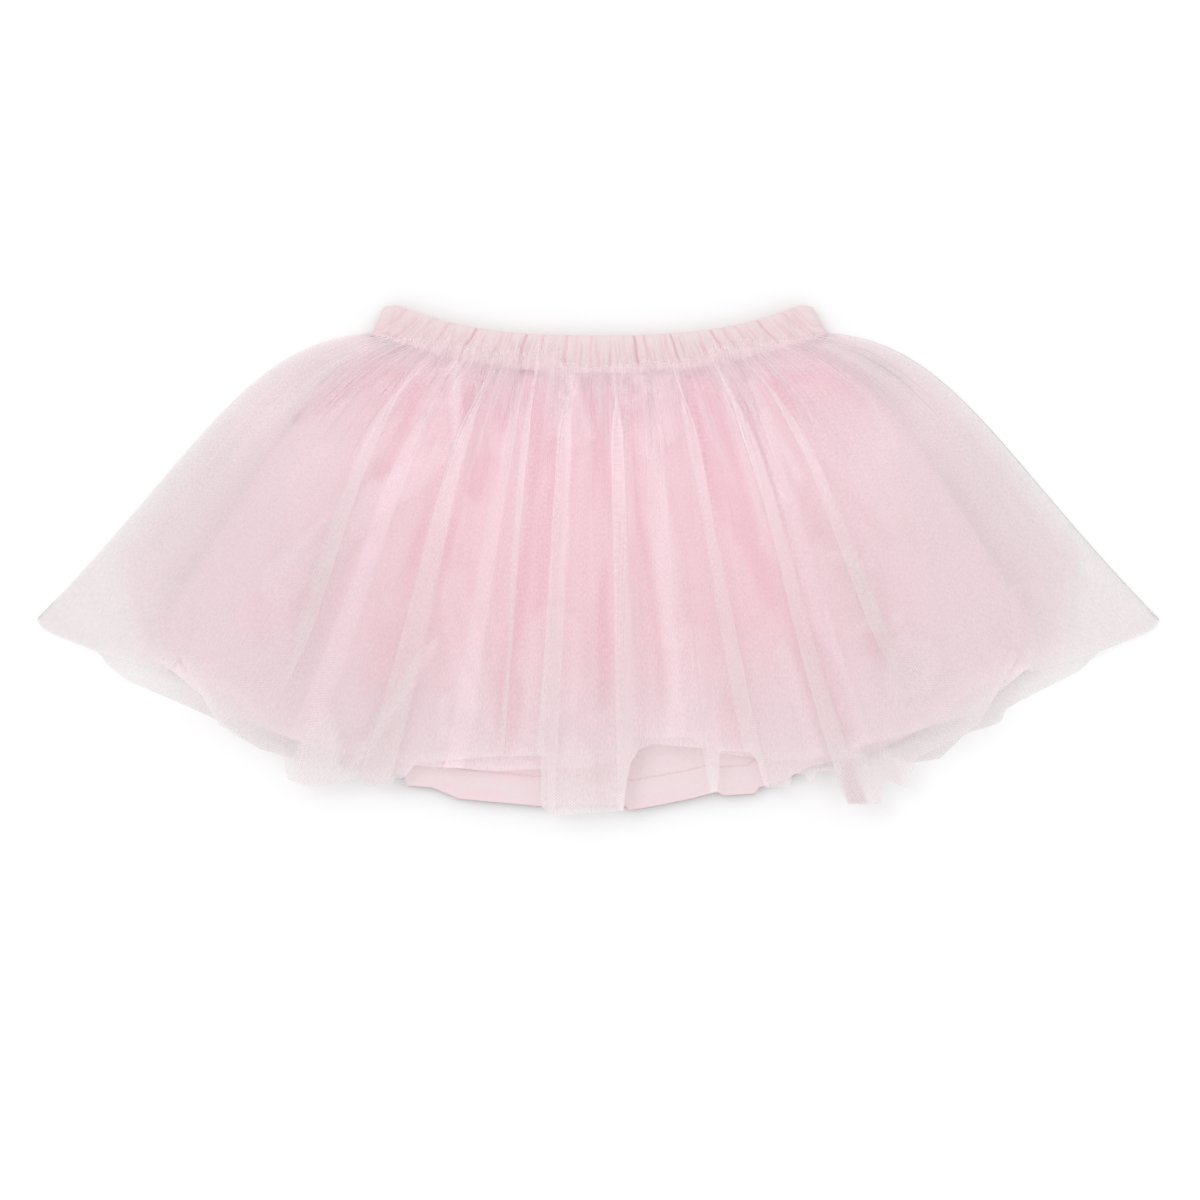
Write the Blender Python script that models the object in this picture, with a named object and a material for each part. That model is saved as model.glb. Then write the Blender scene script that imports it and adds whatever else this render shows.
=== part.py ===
"""A toddler's tulle skirt laid flat, front up: three gathered tulle layers over a lining, on an elastic band.

The garment lies on its back panels with the waist towards +Y and its front facing +Z. Every panel of the
skirt follows one fan of fold lines, which run from the waist seam to the hem. The panels are laid down one
after another, each on what is already there, so the wall of every panel stays clear of its neighbours by the
laying gap.
"""

import math

import bmesh
import bpy

MM = 0.001

# Driving dimensions: the waist is relaxed, and every width is that of the garment lying flat.
BAND_TOP_WIDTH = 0.203
BAND_SEAM_WIDTH = 0.217
BAND_DEPTH = 0.0180
BAND_THICKNESS = 0.0046
TULLE_THICKNESS = 0.0015
LINING_THICKNESS = 0.0011
BACK_THICKNESS = 0.0010
LAYING_GAP = 0.0003
DRAPING_SLOPE = 1.0

# The waistband bows: both its edges rise from the centre front to the side folds. Its ends are rounded off.
BAND_TOP_RISE, BAND_TOP_BOW = 0.0172, 2.8
BAND_SEAM_RISE, BAND_SEAM_BOW = 0.0195, 2.3
BAND_CORNER = 0.0035
BAND_GATHERS = 42
BAND_GATHER_HEIGHT = 0.0008
BAND_BACK_COLUMNS = 30
BAND_BACK_ROUNDING = 0.6

# The side folds of the skirt leave the waistband almost level and come down to the tips of the hem.
LEAVING_ANGLE, LEAVING_BOW, LEAVING_PULL = math.radians(86), 1.6, 0.287
ARRIVING_ANGLE, ARRIVING_BOW, ARRIVING_PULL = math.radians(44.5), 1.3, 0.523
HEM_SPREADING = 1.2
SIDE_FOLD_SHARPNESS = 4

# Every fold line of the fan is a column. A gather has three columns: its ridge and the two sides of the
# next valley.
SKIRT_GATHERS = 40
GATHER_PROFILE = (1.0, 0.28, 0.12)
FOLD_COLUMNS = SKIRT_GATHERS * len(GATHER_PROFILE)
GATHER_HEIGHT = 0.0025
GATHER_AT_SEAM, GATHER_RISING = 0.55, 7.0
GATHER_FADING, GATHER_AT_HEM = 0.42, 0.12

# Gathers pulled by hand are uneven: in width, as waves of a size and a number across the piece, and in
# height, as the share by which it varies and the angle in radians from one gather to the next.
SKIRT_UNEVEN_WIDTH = ((0.006, 3.5), (0.003, 8.5))
BAND_UNEVEN_WIDTH = ((0.004, 5.5),)
SKIRT_UNEVEN_HEIGHT = (0.28, 2.3)
BAND_UNEVEN_HEIGHT = (0.30, 2.9)

# The broad folds and the air under the gathered tulle
SWELL_HEIGHT = 0.0098
SWELL_START = 0.10
SWELL_GROWTH = 0.17
HEM_FLATTENING = 0.36
AIR_UNDER_TULLE = 0.0046
AIR_HIGH_UP = 0.62

# Where the rows of points lie, as a share of the way to the hem or across the waistband
FOLD_ROWS = (0.0, 0.06, 0.15, 0.27, 0.41, 0.56, 0.71, 0.86, 1.0)
BAND_ROWS = (0.0, 0.22, 0.78, 1.0)
BAND_CROWN = (0.45, 1.0, 1.0, 0.72)

# Two lines from the left tip of the hem to the right one, across from the centre line and down from the
# middle of the waist seam, in millimetres. The fold lines run to the smooth one, and no panel reaches past
# the ragged one.
HEM_COLUMNS = ("across", "down")
SMOOTH_HEM = (
    (-266.7, 116.4),
    (-205.0, 156.0),
    (-143.0, 194.5),
    (-68.0, 206.0),
    (-21.0, 209.5),
    (19.0, 209.5),
    (66.0, 207.0),
    (132.0, 203.5),
    (200.0, 160.0),
    (266.7, 116.9),
)
RAGGED_HEM = (
    (-266.7, 116.4),
    (-244.0, 129.5),
    (-222.0, 145.0),
    (-199.0, 153.0),
    (-176.0, 168.0),
    (-164.5, 175.8),
    (-147.5, 183.0),
    (-143.0, 193.8),
    (-119.0, 193.0),
    (-113.3, 190.0),
    (-102.0, 193.8),
    (-96.0, 190.5),
    (-87.6, 195.2),
    (-67.7, 201.4),
    (-41.0, 205.7),
    (-27.8, 206.2),
    (-21.0, 209.0),
    (-1.0, 207.1),
    (18.8, 208.0),
    (45.4, 203.3),
    (52.0, 200.0),
    (65.3, 200.5),
    (85.3, 196.2),
    (91.9, 189.0),
    (98.6, 193.8),
    (110.9, 188.1),
    (116.6, 198.6),
    (122.3, 203.3),
    (132.0, 203.0),
    (139.4, 195.7),
    (145.1, 186.2),
    (168.0, 175.8),
    (190.7, 162.0),
    (202.0, 151.0),
    (225.0, 140.0),
    (236.3, 130.6),
    (259.0, 120.7),
    (266.7, 116.9),
)

# The broad folds of the tulle: the crests and the channels between them, as a share of the swell's height,
# against the place where they leave the seam, as a share of the half width from the centre front.
SWELL_COLUMNS = ("side", "height")
SWELLS = (
    (-1.00, 0.00),
    (-0.92, 0.60),
    (-0.85, 0.15),
    (-0.76, 0.85),
    (-0.66, 0.10),
    (-0.56, 0.90),
    (-0.48, 0.30),
    (-0.43, 0.45),
    (-0.38, 0.15),
    (-0.30, 0.95),
    (-0.23, 0.00),
    (-0.18, 0.60),
    (-0.13, 0.25),
    (-0.06, 0.95),
    (0.01, 0.05),
    (0.08, 0.90),
    (0.14, 0.10),
    (0.25, 1.00),
    (0.36, 0.00),
    (0.40, 0.45),
    (0.44, 0.15),
    (0.51, 0.80),
    (0.57, 0.30),
    (0.62, 0.75),
    (0.68, 0.15),
    (0.75, 0.80),
    (0.82, 0.20),
    (0.91, 0.60),
    (1.00, 0.00),
)

# How far each panel reaches along the fold lines: reach is the share of a fold line that the panel covers,
# at a share of the half width from the centre front. A reach of 1 goes as far as the ragged hem.
REACH_COLUMNS = ("side", "reach")
OUTER_BACK_REACH = ((-1.0, 1.0), (-0.62, 1.0), (-0.55, 0.97), (0.50, 0.97), (0.60, 1.0), (1.0, 1.0))
OUTER_FRONT_REACH = (
    (-1.00, 1.000),
    (-0.92, 0.995),
    (-0.80, 0.925),
    (-0.72, 0.950),
    (-0.60, 0.985),
    (-0.50, 1.000),
    (0.56, 1.000),
    (0.66, 0.965),
    (0.80, 0.925),
    (0.92, 0.995),
    (1.00, 1.000),
)
MIDDLE_BACK_REACH = ((-0.95, 0.80), (-0.83, 0.95), (-0.55, 0.97), (0.55, 0.97), (0.83, 0.95), (0.95, 0.80))
MIDDLE_FRONT_REACH = ((-0.95, 0.80), (-0.83, 0.93), (-0.50, 0.95), (0.50, 0.95), (0.83, 0.93), (0.95, 0.80))
INNER_BACK_REACH = ((-0.91, 0.74), (-0.80, 0.90), (-0.50, 0.94), (0.50, 0.94), (0.80, 0.90), (0.91, 0.74))
INNER_FRONT_REACH = ((-0.91, 0.72), (-0.80, 0.88), (-0.45, 0.91), (0.45, 0.90), (0.80, 0.88), (0.91, 0.72))
LINING_BACK_REACH = (
    (-0.87, 0.62),
    (-0.84, 0.80),
    (-0.76, 0.88),
    (-0.62, 0.90),
    (-0.32, 0.95),
    (0.00, 0.98),
    (0.20, 0.99),
    (0.36, 0.95),
    (0.62, 0.90),
    (0.76, 0.88),
    (0.84, 0.80),
    (0.87, 0.62),
)
LINING_FRONT_REACH = (
    (-0.87, 0.58),
    (-0.84, 0.76),
    (-0.76, 0.84),
    (-0.47, 0.86),
    (0.00, 0.90),
    (0.47, 0.88),
    (0.76, 0.84),
    (0.84, 0.76),
    (0.87, 0.58),
)

# The flat panels that the garment lies on, from the floor up
BACK_COLUMNS = ("name", "material", "reach")
BACKS = (
    ("tulle_outer_back", "tulle_outer", OUTER_BACK_REACH),
    ("tulle_middle_back", "tulle_middle", MIDDLE_BACK_REACH),
    ("tulle_inner_back", "tulle_inner", INNER_BACK_REACH),
    ("lining_back", "lining", LINING_BACK_REACH),
)

# The folded panels over them, from the lowest up: every how many columns has points, the share of each kind
# of height that the panel adds to the one below, and how far to the right its broad folds are moved.
FRONT_COLUMNS = ("name", "material", "reach", "thickness", "every", "gather", "swell", "air", "moved")
FRONTS = (
    ("lining_front", "lining", LINING_FRONT_REACH, LINING_THICKNESS, 4, 0.25, 0.10, 0.10, 0.03),
    ("tulle_inner_front", "tulle_inner", INNER_FRONT_REACH, TULLE_THICKNESS, 2, 0.35, 0.27, 0.30, 0.02),
    ("tulle_middle_front", "tulle_middle", MIDDLE_FRONT_REACH, TULLE_THICKNESS, 2, 0.20, 0.25, 0.30, -0.02),
    ("tulle_outer_front", "tulle_outer", OUTER_FRONT_REACH, TULLE_THICKNESS, 1, 1.00, 0.38, 0.30, 0.0),
)

# Colour (linear red, green, blue) and roughness of each cloth
MATERIALS = {
    "tulle_outer": ((0.82, 0.66, 0.70), 0.85),
    "tulle_middle": ((0.83, 0.62, 0.68), 0.85),
    "tulle_inner": ((0.84, 0.58, 0.66), 0.85),
    "lining": ((0.86, 0.47, 0.57), 0.75),
    "waistband": ((0.86, 0.66, 0.70), 0.80),
}


def mix(first, second, share):
    return tuple(a + (b - a) * share for a, b in zip(first, second))


def uneven_side(even, waves):
    """A place across a piece, from -1 to 1, moved by the uneven width of the gathers, but not at its ends."""
    return even + sum(size * math.sin(2 * math.pi * count * even) for size, count in waves) * (1 - even**2)


def gather_share(step, uneven):
    """The height of a gathered face at a column, from 0 to 1."""
    ridge, place = divmod(step, len(GATHER_PROFILE))
    varies, angle = uneven
    return GATHER_PROFILE[place] * (1 - varies + varies * math.sin(angle * ridge))


def along(table, at, soft=False):
    """The second column of a table of pairs at a value of the first, on straight or soft lines."""
    if at <= table[0][0]:
        return table[0][1]
    for (start, first), (end, second) in zip(table, table[1:]):
        if at <= end:
            part = (at - start) / (end - start)
            if soft:
                part = (1 - math.cos(math.pi * part)) / 2
            return first + (second - first) * part
    return table[-1][1]


# ---- The fan of fold lines -----------------------------------------------------------------------


def seam_point(side, below=0.0):
    """A point on the waist seam, or that far below it. The middle of the seam is (0, 0)."""
    rise = BAND_SEAM_RISE * abs(side) ** BAND_SEAM_BOW
    return (BAND_SEAM_WIDTH / 2 * side, rise - below)


def hem_point(side):
    """Where the fold line that leaves the seam at side meets the hem. The fan opens more at the sides."""
    across = SMOOTH_HEM[-1][0] * math.copysign(abs(side) ** HEM_SPREADING, side)
    return (across * MM, -along(SMOOTH_HEM, across) * MM)


def fold_point(side, share):
    """A point on the fold line that leaves the seam at side, at a share of its length: a Bezier curve."""
    start = seam_point(side, below=LAYING_GAP)
    end = hem_point(side)
    chord = math.dist(start, end)
    leaving = math.copysign(LEAVING_ANGLE * abs(side) ** LEAVING_BOW, side)
    arriving = math.copysign(ARRIVING_ANGLE * abs(side) ** ARRIVING_BOW, side)
    pull = LEAVING_PULL * chord
    push = ARRIVING_PULL * chord
    outward = (start[0] + pull * math.sin(leaving), start[1] - pull * math.cos(leaving))
    inward = (end[0] - push * math.sin(arriving), end[1] + push * math.cos(arriving))
    weights = ((1 - share) ** 3, 3 * share * (1 - share) ** 2, 3 * share**2 * (1 - share), share**3)
    return tuple(sum(w * p[k] for w, p in zip(weights, (start, outward, inward, end))) for k in (0, 1))


SIDES = [uneven_side(2 * column / FOLD_COLUMNS - 1, SKIRT_UNEVEN_WIDTH) for column in range(FOLD_COLUMNS + 1)]
FAN = [[fold_point(side, share) for share in FOLD_ROWS] for side in SIDES]
COLUMNS = range(len(SIDES))
ROWS = range(len(FOLD_ROWS))


def fan_point(column, share):
    """A point of the fan on the straight lines between its rows, so that all the panels share edges."""
    for row in ROWS[1:]:
        if share <= FOLD_ROWS[row] or row == ROWS[-1]:
            part = (share - FOLD_ROWS[row - 1]) / (FOLD_ROWS[row] - FOLD_ROWS[row - 1])
            return mix(FAN[column][row - 1], FAN[column][row], part)


HALVINGS = 12


def ragged_share(column):
    """The share of a fold line at which it crosses the ragged hem, found by halving."""
    inside, outside = FOLD_ROWS[-2], FOLD_ROWS[-1]
    for _ in range(HALVINGS):
        share = (inside + outside) / 2
        across, up = fan_point(column, share)
        if -up / MM < along(RAGGED_HEM, across / MM):
            inside = share
        else:
            outside = share
    return outside


RAGGED_SHARES = [ragged_share(column) for column in COLUMNS]
CLOSE_TO_ROW = 0.006


def reach_at(reach, column):
    """The share of a fold line that a panel covers: none outside its table, and whole rows if almost."""
    side = SIDES[column]
    if not reach[0][0] <= side <= reach[-1][0]:
        return 0.0
    covered = min(along(reach, side), RAGGED_SHARES[column])
    near = min(FOLD_ROWS, key=lambda share: abs(share - covered))
    return near if abs(near - covered) < CLOSE_TO_ROW else covered


# ---- Heights: every panel is laid on what is already there ---------------------------------------


def swell_height(side, share, moved):
    """The broad folds of the tulle, which grow below the gathers and flatten a little at the hem."""
    grown = SWELL_START + (1 - SWELL_START) * (1 - math.exp(-share / SWELL_GROWTH))
    return SWELL_HEIGHT * grown * (1 - HEM_FLATTENING * share**2) * along(SWELLS, side - moved, soft=True)


def gather_height(step, share):
    """The small gathers, highest just below the seam and almost gone at the hem."""
    rising = min(1.0, GATHER_AT_SEAM + GATHER_RISING * share)
    fading = math.exp(-((share / GATHER_FADING) ** 2))
    return GATHER_HEIGHT * (rising * fading + GATHER_AT_HEM) * gather_share(step, SKIRT_UNEVEN_HEIGHT)


def air_height(share):
    """How much the gathered tulle puffs up just below the waist."""
    return AIR_UNDER_TULLE * math.sin(math.pi * share**AIR_HIGH_UP)


def raise_top(top, reach, heights):
    """Raises the heap's upper heights to those of a panel, and one column and row past its edge.

    Beyond that edge the heap's upper heights fall no faster than cloth drapes over an edge.
    """
    for column in COLUMNS:
        reaches = [reach_at(reach, near) for near in (column - 1, column, column + 1) if near in COLUMNS]
        for row in ROWS:
            before = FOLD_ROWS[max(0, row - 1)]
            if max(reaches) > before:
                top[column][row] = heights[column][row]
    for order in (COLUMNS, COLUMNS[::-1]):
        for start, end in zip(order, order[1:]):
            for row in ROWS:
                fall = DRAPING_SLOPE * math.dist(FAN[start][row], FAN[end][row])
                top[end][row] = max(top[end][row], top[start][row] - fall)


def laid_heights(top, every, gather, swell, air, moved):
    """The lower heights of a folded panel at every point of the fan, straight between its own columns."""
    low = [[0.0] * len(FOLD_ROWS) for _ in COLUMNS]
    for column in COLUMNS[::every]:
        side = SIDES[column]
        full = 1 - side**SIDE_FOLD_SHARPNESS
        for row in ROWS:
            share = FOLD_ROWS[row]
            folds = swell * swell_height(side, share, moved) + air * air_height(share)
            folds += gather * gather_height(column // every, share)
            low[column][row] = top[column][row] + LAYING_GAP + full * folds
    for column in COLUMNS:
        start = column - column % every
        if start != column:
            part = (column - start) / every
            low[column] = list(mix(low[start], low[start + every], part))
    return low


# ---- Solids --------------------------------------------------------------------------------------


def cloth_material(name):
    colour, roughness = MATERIALS[name]
    material = bpy.data.materials.new(name)
    material.use_nodes = True
    shader = material.node_tree.nodes["Principled BSDF"]
    shader.inputs["Base Color"].default_value = (*colour, 1.0)
    shader.inputs["Roughness"].default_value = roughness
    shader.inputs["Metallic"].default_value = 0.0
    return material


def finished(name, shape, material, collection):
    """Makes the object of a piece from its closed shape."""
    bmesh.ops.recalc_face_normals(shape, faces=shape.faces)
    mesh = bpy.data.meshes.new(name)
    shape.to_mesh(mesh)
    shape.free()
    mesh.shade_smooth()
    mesh.set_sharp_from_angle(angle=math.radians(50))
    mesh.materials.append(material)
    piece = bpy.data.objects.new(name, mesh)
    collection.objects.link(piece)
    return piece


def flat_panel(name, reach, floor, material, collection):
    """A panel that lies flat: its outline follows the seam, the two outermost fold lines and the hem."""
    used = [column for column in COLUMNS if reach_at(reach, column) > 0]
    left, right = used[0], used[-1]
    seam = [fan_point(column, 0.0) for column in used[:: len(GATHER_PROFILE)]]
    hem = [fan_point(column, reach_at(reach, column)) for column in reversed(used)]
    right_edge = [fan_point(right, share) for share in FOLD_ROWS if share < reach_at(reach, right)]
    left_edge = [fan_point(left, share) for share in reversed(FOLD_ROWS) if 0 < share < reach_at(reach, left)]
    shape = bmesh.new()
    for point in seam + right_edge + hem + left_edge:
        shape.verts.new((*point, floor))
    bmesh.ops.remove_doubles(shape, verts=shape.verts, dist=0.01 * MM)
    bmesh.ops.contextual_create(shape, geom=shape.verts[:])
    raised = bmesh.ops.extrude_face_region(shape, geom=shape.faces[:])["geom"]
    upper = [item for item in raised if isinstance(item, bmesh.types.BMVert)]
    bmesh.ops.translate(shape, verts=upper, vec=(0, 0, BACK_THICKNESS))
    return finished(name, shape, material, collection)


def wall(name, columns, rows, place, material, collection):
    """A closed wall of cloth. place gives (x, y, lower z, upper z) for a column and a row of its points."""

    def step_of(vert):
        return round((vert.co.x + 1) / 2 * columns), round((1 - vert.co.y) / 2 * rows)

    shape = bmesh.new()
    bmesh.ops.create_grid(shape, x_segments=columns, y_segments=rows, size=1.0)
    lower = list(shape.verts)
    raised = bmesh.ops.extrude_face_region(shape, geom=shape.faces[:])["geom"]
    upper = [item for item in raised if isinstance(item, bmesh.types.BMVert)]
    for level, verts in ((2, lower), (3, upper)):
        for vert in verts:
            spot = place(*step_of(vert))
            vert.co = (spot[0], spot[1], spot[level])
    bmesh.ops.remove_doubles(shape, verts=shape.verts, dist=0.01 * MM)
    return finished(name, shape, material, collection)


def folded_panel(name, reach, thickness, every, low, material, collection):
    """A panel of the fan with its folds, cut off at its reach."""
    used = [column for column in COLUMNS[::every] if reach_at(reach, column) > 0]

    def place(step, row):
        column = used[step]
        share = min(FOLD_ROWS[row], reach_at(reach, column))
        height = along(list(zip(FOLD_ROWS, low[column])), share)
        return (*fan_point(column, share), height, height + thickness)

    return wall(name, len(used) - 1, len(FOLD_ROWS) - 1, place, material, collection)


def band_point(side, row):
    """A point of the waistband between its top edge, whose corners are rounded off, and the seam."""
    across = BAND_TOP_WIDTH / 2 * side
    into_corner = max(0.0, abs(across) - (BAND_TOP_WIDTH / 2 - BAND_CORNER))
    drop = BAND_CORNER - math.sqrt(max(0.0, BAND_CORNER**2 - into_corner**2))
    top = (across, BAND_DEPTH + BAND_TOP_RISE * abs(side) ** BAND_TOP_BOW - drop)
    return mix(top, seam_point(side), BAND_ROWS[row])


def front_band(material, collection):
    """The front half of the casing, gathered on its outer face over a plain inside."""
    columns = BAND_GATHERS * len(GATHER_PROFILE)
    inside = BAND_THICKNESS + LAYING_GAP

    def place(step, row):
        side = uneven_side(2 * step / columns - 1, BAND_UNEVEN_WIDTH)
        gather = BAND_GATHER_HEIGHT * gather_share(step, BAND_UNEVEN_HEIGHT)
        return (*band_point(side, row), inside, inside + BAND_THICKNESS * BAND_CROWN[row] + gather)

    return wall("waistband_front", columns, len(BAND_ROWS) - 1, place, material, collection)


def back_band(material, collection):
    """The back half of the casing, which lies on its outer face with its gathers pressed flat."""

    def place(step, row):
        side = 2 * step / BAND_BACK_COLUMNS - 1
        lifted = BAND_BACK_ROUNDING * BAND_THICKNESS * (1 - BAND_CROWN[row])
        return (*band_point(side, row), lifted, BAND_THICKNESS)

    return wall("waistband_back", BAND_BACK_COLUMNS, len(BAND_ROWS) - 1, place, material, collection)


def set_on_origin(pieces):
    """Moves the garment so that the origin is on the floor under the middle of its outline."""
    points = [vert.co for piece in pieces for vert in piece.data.vertices]
    lowest = [min(point[axis] for point in points) for axis in range(3)]
    highest = [max(point[axis] for point in points) for axis in range(3)]
    for piece in pieces:
        for vert in piece.data.vertices:
            vert.co.x -= (lowest[0] + highest[0]) / 2
            vert.co.y -= (lowest[1] + highest[1]) / 2
            vert.co.z -= lowest[2]


def build():
    for old in list(bpy.data.objects):
        bpy.data.objects.remove(old)
    collection = bpy.data.collections.new("tulle_skirt")
    bpy.context.scene.collection.children.link(collection)
    materials = {name: cloth_material(name) for name in MATERIALS}

    pieces = []
    top = [[0.0] * len(FOLD_ROWS) for _ in COLUMNS]
    floor = 0.0
    for name, material, reach in BACKS:
        pieces.append(flat_panel(name, reach, floor, materials[material], collection))
        raise_top(top, reach, [[floor + BACK_THICKNESS] * len(FOLD_ROWS) for _ in COLUMNS])
        floor += BACK_THICKNESS + LAYING_GAP
    for name, material, reach, thickness, every, gather, swell, air, moved in FRONTS:
        low = laid_heights(top, every, gather, swell, air, moved)
        pieces.append(folded_panel(name, reach, thickness, every, low, materials[material], collection))
        raise_top(top, reach, [[height + thickness for height in line] for line in low])
    pieces.append(back_band(materials["waistband"], collection))
    pieces.append(front_band(materials["waistband"], collection))
    set_on_origin(pieces)


build()
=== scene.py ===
"""Looks of a toddler's tulle skirt that is laid flat, front up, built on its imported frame."""

import math

import bmesh
import bpy
import numpy as np
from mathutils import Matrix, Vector
from mathutils.bvhtree import BVHTree


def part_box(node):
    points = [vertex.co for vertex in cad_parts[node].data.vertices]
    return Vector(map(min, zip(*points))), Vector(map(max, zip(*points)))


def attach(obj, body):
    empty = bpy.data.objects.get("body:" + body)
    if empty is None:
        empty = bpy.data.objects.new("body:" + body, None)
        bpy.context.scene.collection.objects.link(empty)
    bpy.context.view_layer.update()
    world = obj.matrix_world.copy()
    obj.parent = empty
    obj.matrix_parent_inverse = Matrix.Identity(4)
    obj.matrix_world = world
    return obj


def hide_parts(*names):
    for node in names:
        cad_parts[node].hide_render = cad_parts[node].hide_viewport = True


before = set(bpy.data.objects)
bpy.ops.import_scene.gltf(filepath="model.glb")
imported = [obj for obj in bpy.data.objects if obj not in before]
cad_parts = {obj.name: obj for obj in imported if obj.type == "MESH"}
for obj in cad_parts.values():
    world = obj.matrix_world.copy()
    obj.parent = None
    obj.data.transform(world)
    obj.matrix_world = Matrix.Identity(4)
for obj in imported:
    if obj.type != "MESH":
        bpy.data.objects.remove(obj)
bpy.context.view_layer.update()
MM = 0.001

# ---- Lining --------------------------------------------------------------------------------------
# The lining is an A-line tube of plain woven cotton, cut narrower than the tulle and gathered into the same
# waist seam. Its hem is turned up once and stitched, and the front hangs a little shorter than the back, so
# the back's hem shows below it.

# Every cloth of the skirt follows one fan of fold lines, from the waist seam to a smooth line along the hem.
# The lines turn outwards more and more towards the sides, where the seam rises too.
SEAM_MIDDLE_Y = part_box("waistband_front")[0].y
TIP_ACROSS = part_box("tulle_outer_front")[1].x
SEAM_HALF = 0.217 / 2
SEAM_RISE, SEAM_BOW = 0.0195, 2.3
LEAVING_ANGLE, LEAVING_BOW, LEAVING_PULL = math.radians(86), 1.6, 0.287
ARRIVING_ANGLE, ARRIVING_BOW, ARRIVING_PULL = math.radians(44.5), 1.3, 0.523
HEM_SPREADING = 1.2

# Across from the centre line and down from the middle of the waist seam, in millimetres
FAN_END = (
    (-266.7, 116.4), (-205, 156), (-143, 194.5), (-68, 206), (-21, 209.5), (19, 209.5), (66, 207),
    (132, 203.5), (200, 160), (266.7, 116.9),
)


def table_at(table, places):
    """The second column of a table at places in its first, on straight lines."""
    first, second = zip(*table)
    return np.interp(places, first, second)


def down_from_seam(y):
    """How far places lie below the middle of the waist seam, in millimetres."""
    return (SEAM_MIDDLE_Y - y) / MM


def fold_line(side, share):
    """Points of the fold lines that leave the seam at side, from -1 to 1, at a share of their length."""
    strength = np.abs(side)
    start = (SEAM_HALF * side, SEAM_RISE * strength**SEAM_BOW)
    across = TIP_ACROSS * np.sign(side) * strength**HEM_SPREADING
    end = (across, -table_at(FAN_END, across / MM) * MM)
    chord = np.hypot(end[0] - start[0], end[1] - start[1])
    leaving = np.sign(side) * LEAVING_ANGLE * strength**LEAVING_BOW
    arriving = np.sign(side) * ARRIVING_ANGLE * strength**ARRIVING_BOW
    pull, push = LEAVING_PULL * chord, ARRIVING_PULL * chord
    outward = (start[0] + pull * np.sin(leaving), start[1] - pull * np.cos(leaving))
    inward = (end[0] - push * np.sin(arriving), end[1] + push * np.cos(arriving))
    weights = ((1 - share) ** 3, 3 * share * (1 - share) ** 2, 3 * share**2 * (1 - share), share**3)
    x, y = (sum(w * p[k] for w, p in zip(weights, (start, outward, inward, end))) for k in (0, 1))
    return x, SEAM_MIDDLE_Y + y


# The shares of a fold line's length at which it may cross a hem
SHARES = np.linspace(0.55, 1.03, 97)


def share_at_hem(side, hem):
    """The share of every fold line at which it crosses a hem, a table like that of the fan's end."""
    x, y = fold_line(side[None, :], SHARES[:, None])
    past = down_from_seam(y) - table_at(hem, x / MM)
    crossed = np.argmax(past > 0, axis=0)
    crossed[np.max(past, axis=0) <= 0] = len(SHARES) - 1
    crossed = np.maximum(crossed, 1)
    line = np.arange(len(side))
    before, after = past[crossed - 1, line], past[crossed, line]
    part = np.clip(before / np.minimum(before - after, -1e-9), 0, 1)
    return SHARES[crossed - 1] + part * (SHARES[1] - SHARES[0])


# The waves that an uneven line is made of: the size, rate and start of each
WAVES = ((1.0, 0.31, 1.7), (0.7, 0.73, 4.1), (0.5, 1.37, 2.9))


def uneven(place, seed):
    """A smooth uneven wave from -1 to 1, the same for the same seed."""
    waves = [size * np.sin(2 * math.pi * rate * place + seed * start) for size, rate, start in WAVES]
    return sum(waves) / sum(size for size, _, _ in WAVES)


def soft_step(start, end, places):
    """Rises from 0 at start to 1 at end."""
    part = np.clip((places - start) / (end - start), 0, 1)
    return part * part * (3 - 2 * part)


# How far gathers wander, turn and change in size, and over how many of them
GATHER_WANDER, WANDER_OVER = 0.45, 7
GATHER_TURNING, TURNING_OVER, TURNING_START = 0.5, 11, 3
GATHER_SIZE, GATHER_SIZE_CHANGE, CHANGE_OVER = 0.62, 0.38, 3
GATHER_LIFT_AT_SEAM, GATHER_LIFTING = 0.35, (0.0, 0.3)


def gather(across, down, count, seed, overlap, height, fading):
    """The shift and lift of hand-pulled gathers. At an overlap above 1 their sides lean over each other."""
    place = across * count
    wave = count * (across + 1) / 2 + GATHER_WANDER * uneven(place / WANDER_OVER, seed)
    wave = wave + GATHER_TURNING * down * uneven(place / TURNING_OVER + TURNING_START, seed + 1)
    size = GATHER_SIZE + GATHER_SIZE_CHANGE * uneven(place / CHANGE_OVER, seed + 2)
    size = size * np.exp(-((down / fading) ** 2))
    shift = 2 / count * overlap * size * np.sin(4 * math.pi * wave) / (4 * math.pi)
    lift = height * (GATHER_LIFT_AT_SEAM + (1 - GATHER_LIFT_AT_SEAM) * soft_step(*GATHER_LIFTING, down))
    return shift, lift * size * (1 - np.cos(2 * math.pi * wave)) / 2


def cut_cloth(columns, rows):
    """A cloth as a flat grid, with the row and the column of every vertex."""
    cloth = bmesh.new()
    bmesh.ops.create_grid(cloth, x_segments=columns, y_segments=rows, size=1.0)
    places = np.array([vertex.co[:2] for vertex in cloth.verts])
    column = np.rint((places[:, 0] + 1) / 2 * columns).astype(int)
    row = np.rint((1 - places[:, 1]) / 2 * rows).astype(int)
    return cloth, row, column


def tube_places(columns, back_columns):
    """Where a tube's columns are, across the front from -1 to 1 and back behind, and which are behind."""
    front = np.linspace(-1, 1, columns + 1)
    back = np.linspace(1, -1, back_columns + 1)[1:]
    across = np.concatenate([front, back])[None, :]
    behind = np.arange(across.size)[None, :] > columns
    return across, behind


HIGH_ABOVE = 0.2
SMOOTHING_ROUNDS = 3


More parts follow.
